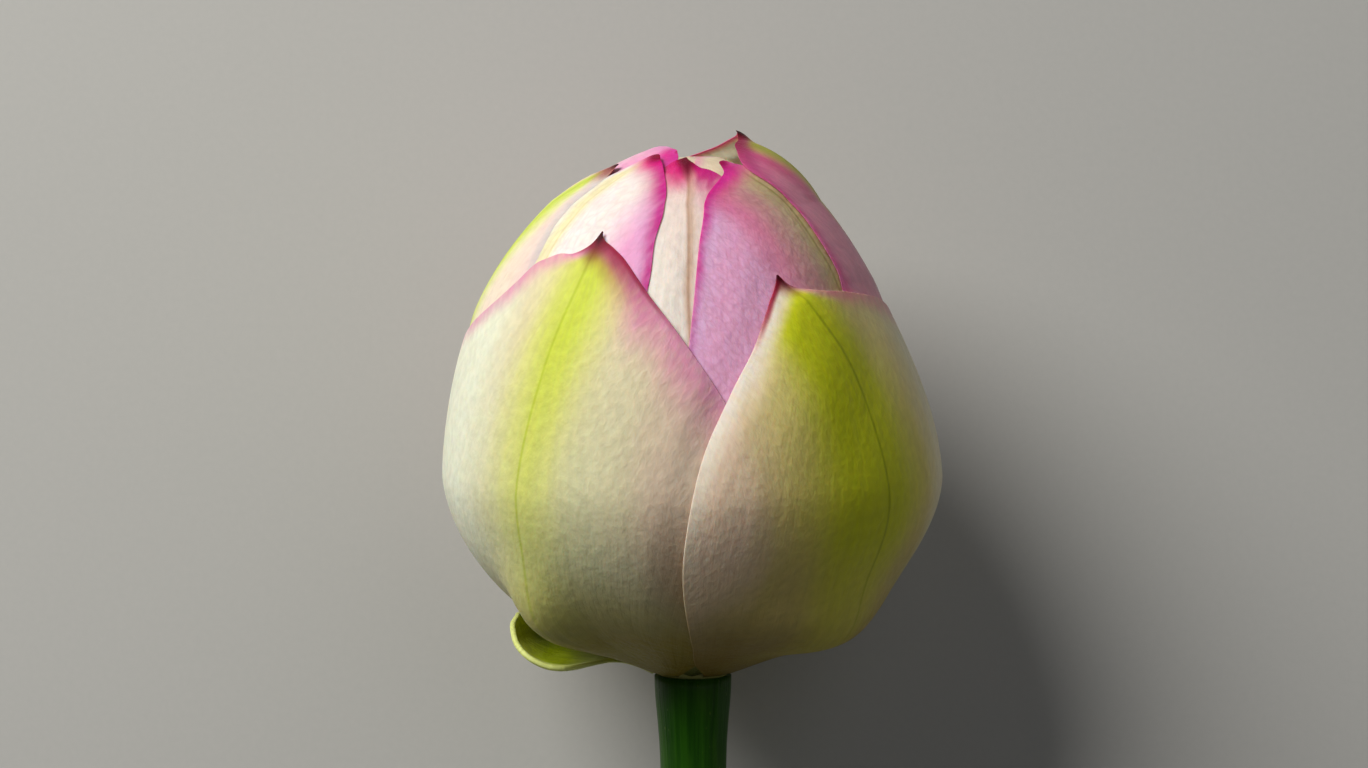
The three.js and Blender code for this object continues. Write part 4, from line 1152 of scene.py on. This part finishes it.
for index, (petal, piece) in enumerate(zip(PETALS, petal_pieces)):
    look = LOOKS.get(petal["name"], LOOKS.get(petal["look"]))
    piece.data.materials.append(petal_material(petal["name"], look, 3.7 * index))
sepal.data.materials.append(sepal_material())
stem.data.materials.append(stem_material())
receptacle.data.materials.append(receptacle_material())
stamens.data.materials.append(stamen_material())

# ---- Camera, light and floor ----

PIXEL, PHOTO_WIDTH, SENSOR = 0.15, 1368, 36
DISTANCE, ELEVATION = 600.0, math.radians(4)
TARGET = np.array([-1.35, 0, 44.5])
FORWARD = np.array([0, math.cos(ELEVATION), -math.sin(ELEVATION)])
UP = np.array([0, math.sin(ELEVATION), math.cos(ELEVATION)])
LIT_PLACE = (0, 0, 0.03)
FLOOR_HALF = 2000

camera_data = bpy.data.cameras.new("camera")
camera_data.lens = SENSOR * (DISTANCE / PIXEL) / PHOTO_WIDTH
camera_data.sensor_width = SENSOR
camera_data.clip_start, camera_data.clip_end = 0.01, 20
camera = placed("camera", camera_data)
place = lay(TARGET - FORWARD * DISTANCE) * MM
axes = [turned(np.array(axis, float)) for axis in ((1, 0, 0), UP, -FORWARD)]
camera.matrix_world = Matrix([[*(axis[i] for axis in axes), place[i]] for i in range(3)] + [[0, 0, 0, 1]])
bpy.context.scene.camera = camera


def area_light(name, location, size, power, color):
    data = bpy.data.lights.new(name, "AREA")
    data.shape, data.size, data.energy, data.color = "DISK", size, power, color
    light = placed(name, data)
    light.location = location
    light.rotation_euler = (Vector(LIT_PLACE) - Vector(location)).to_track_quat("-Z", "Y").to_euler()


area_light("key", location=(-0.56, 0.54, 0.64), size=0.66, power=10.6, color=(1, 0.98, 0.93))
area_light("fill", location=(0.5, 0.2, 0.9), size=0.9, power=1.0, color=(0.98, 0.99, 1))

world = bpy.data.worlds.new("studio")
bpy.context.scene.world = world
world.use_nodes = True
world.node_tree.nodes["Background"].inputs["Color"].default_value = (0.96, 0.97, 1, 1)
world.node_tree.nodes["Background"].inputs["Strength"].default_value = 0.04
bpy.context.scene.view_settings.view_transform = "Standard"

corners = [(x, y, 0) for x, y in ((-1, -1), (1, -1), (1, 1), (-1, 1))]
floor_mesh = new_mesh("floor", np.array(corners) * FLOOR_HALF, [(0, 1, 2, 3)])
floor_mesh.materials.append(floor_material())
floor = placed("floor", floor_mesh)
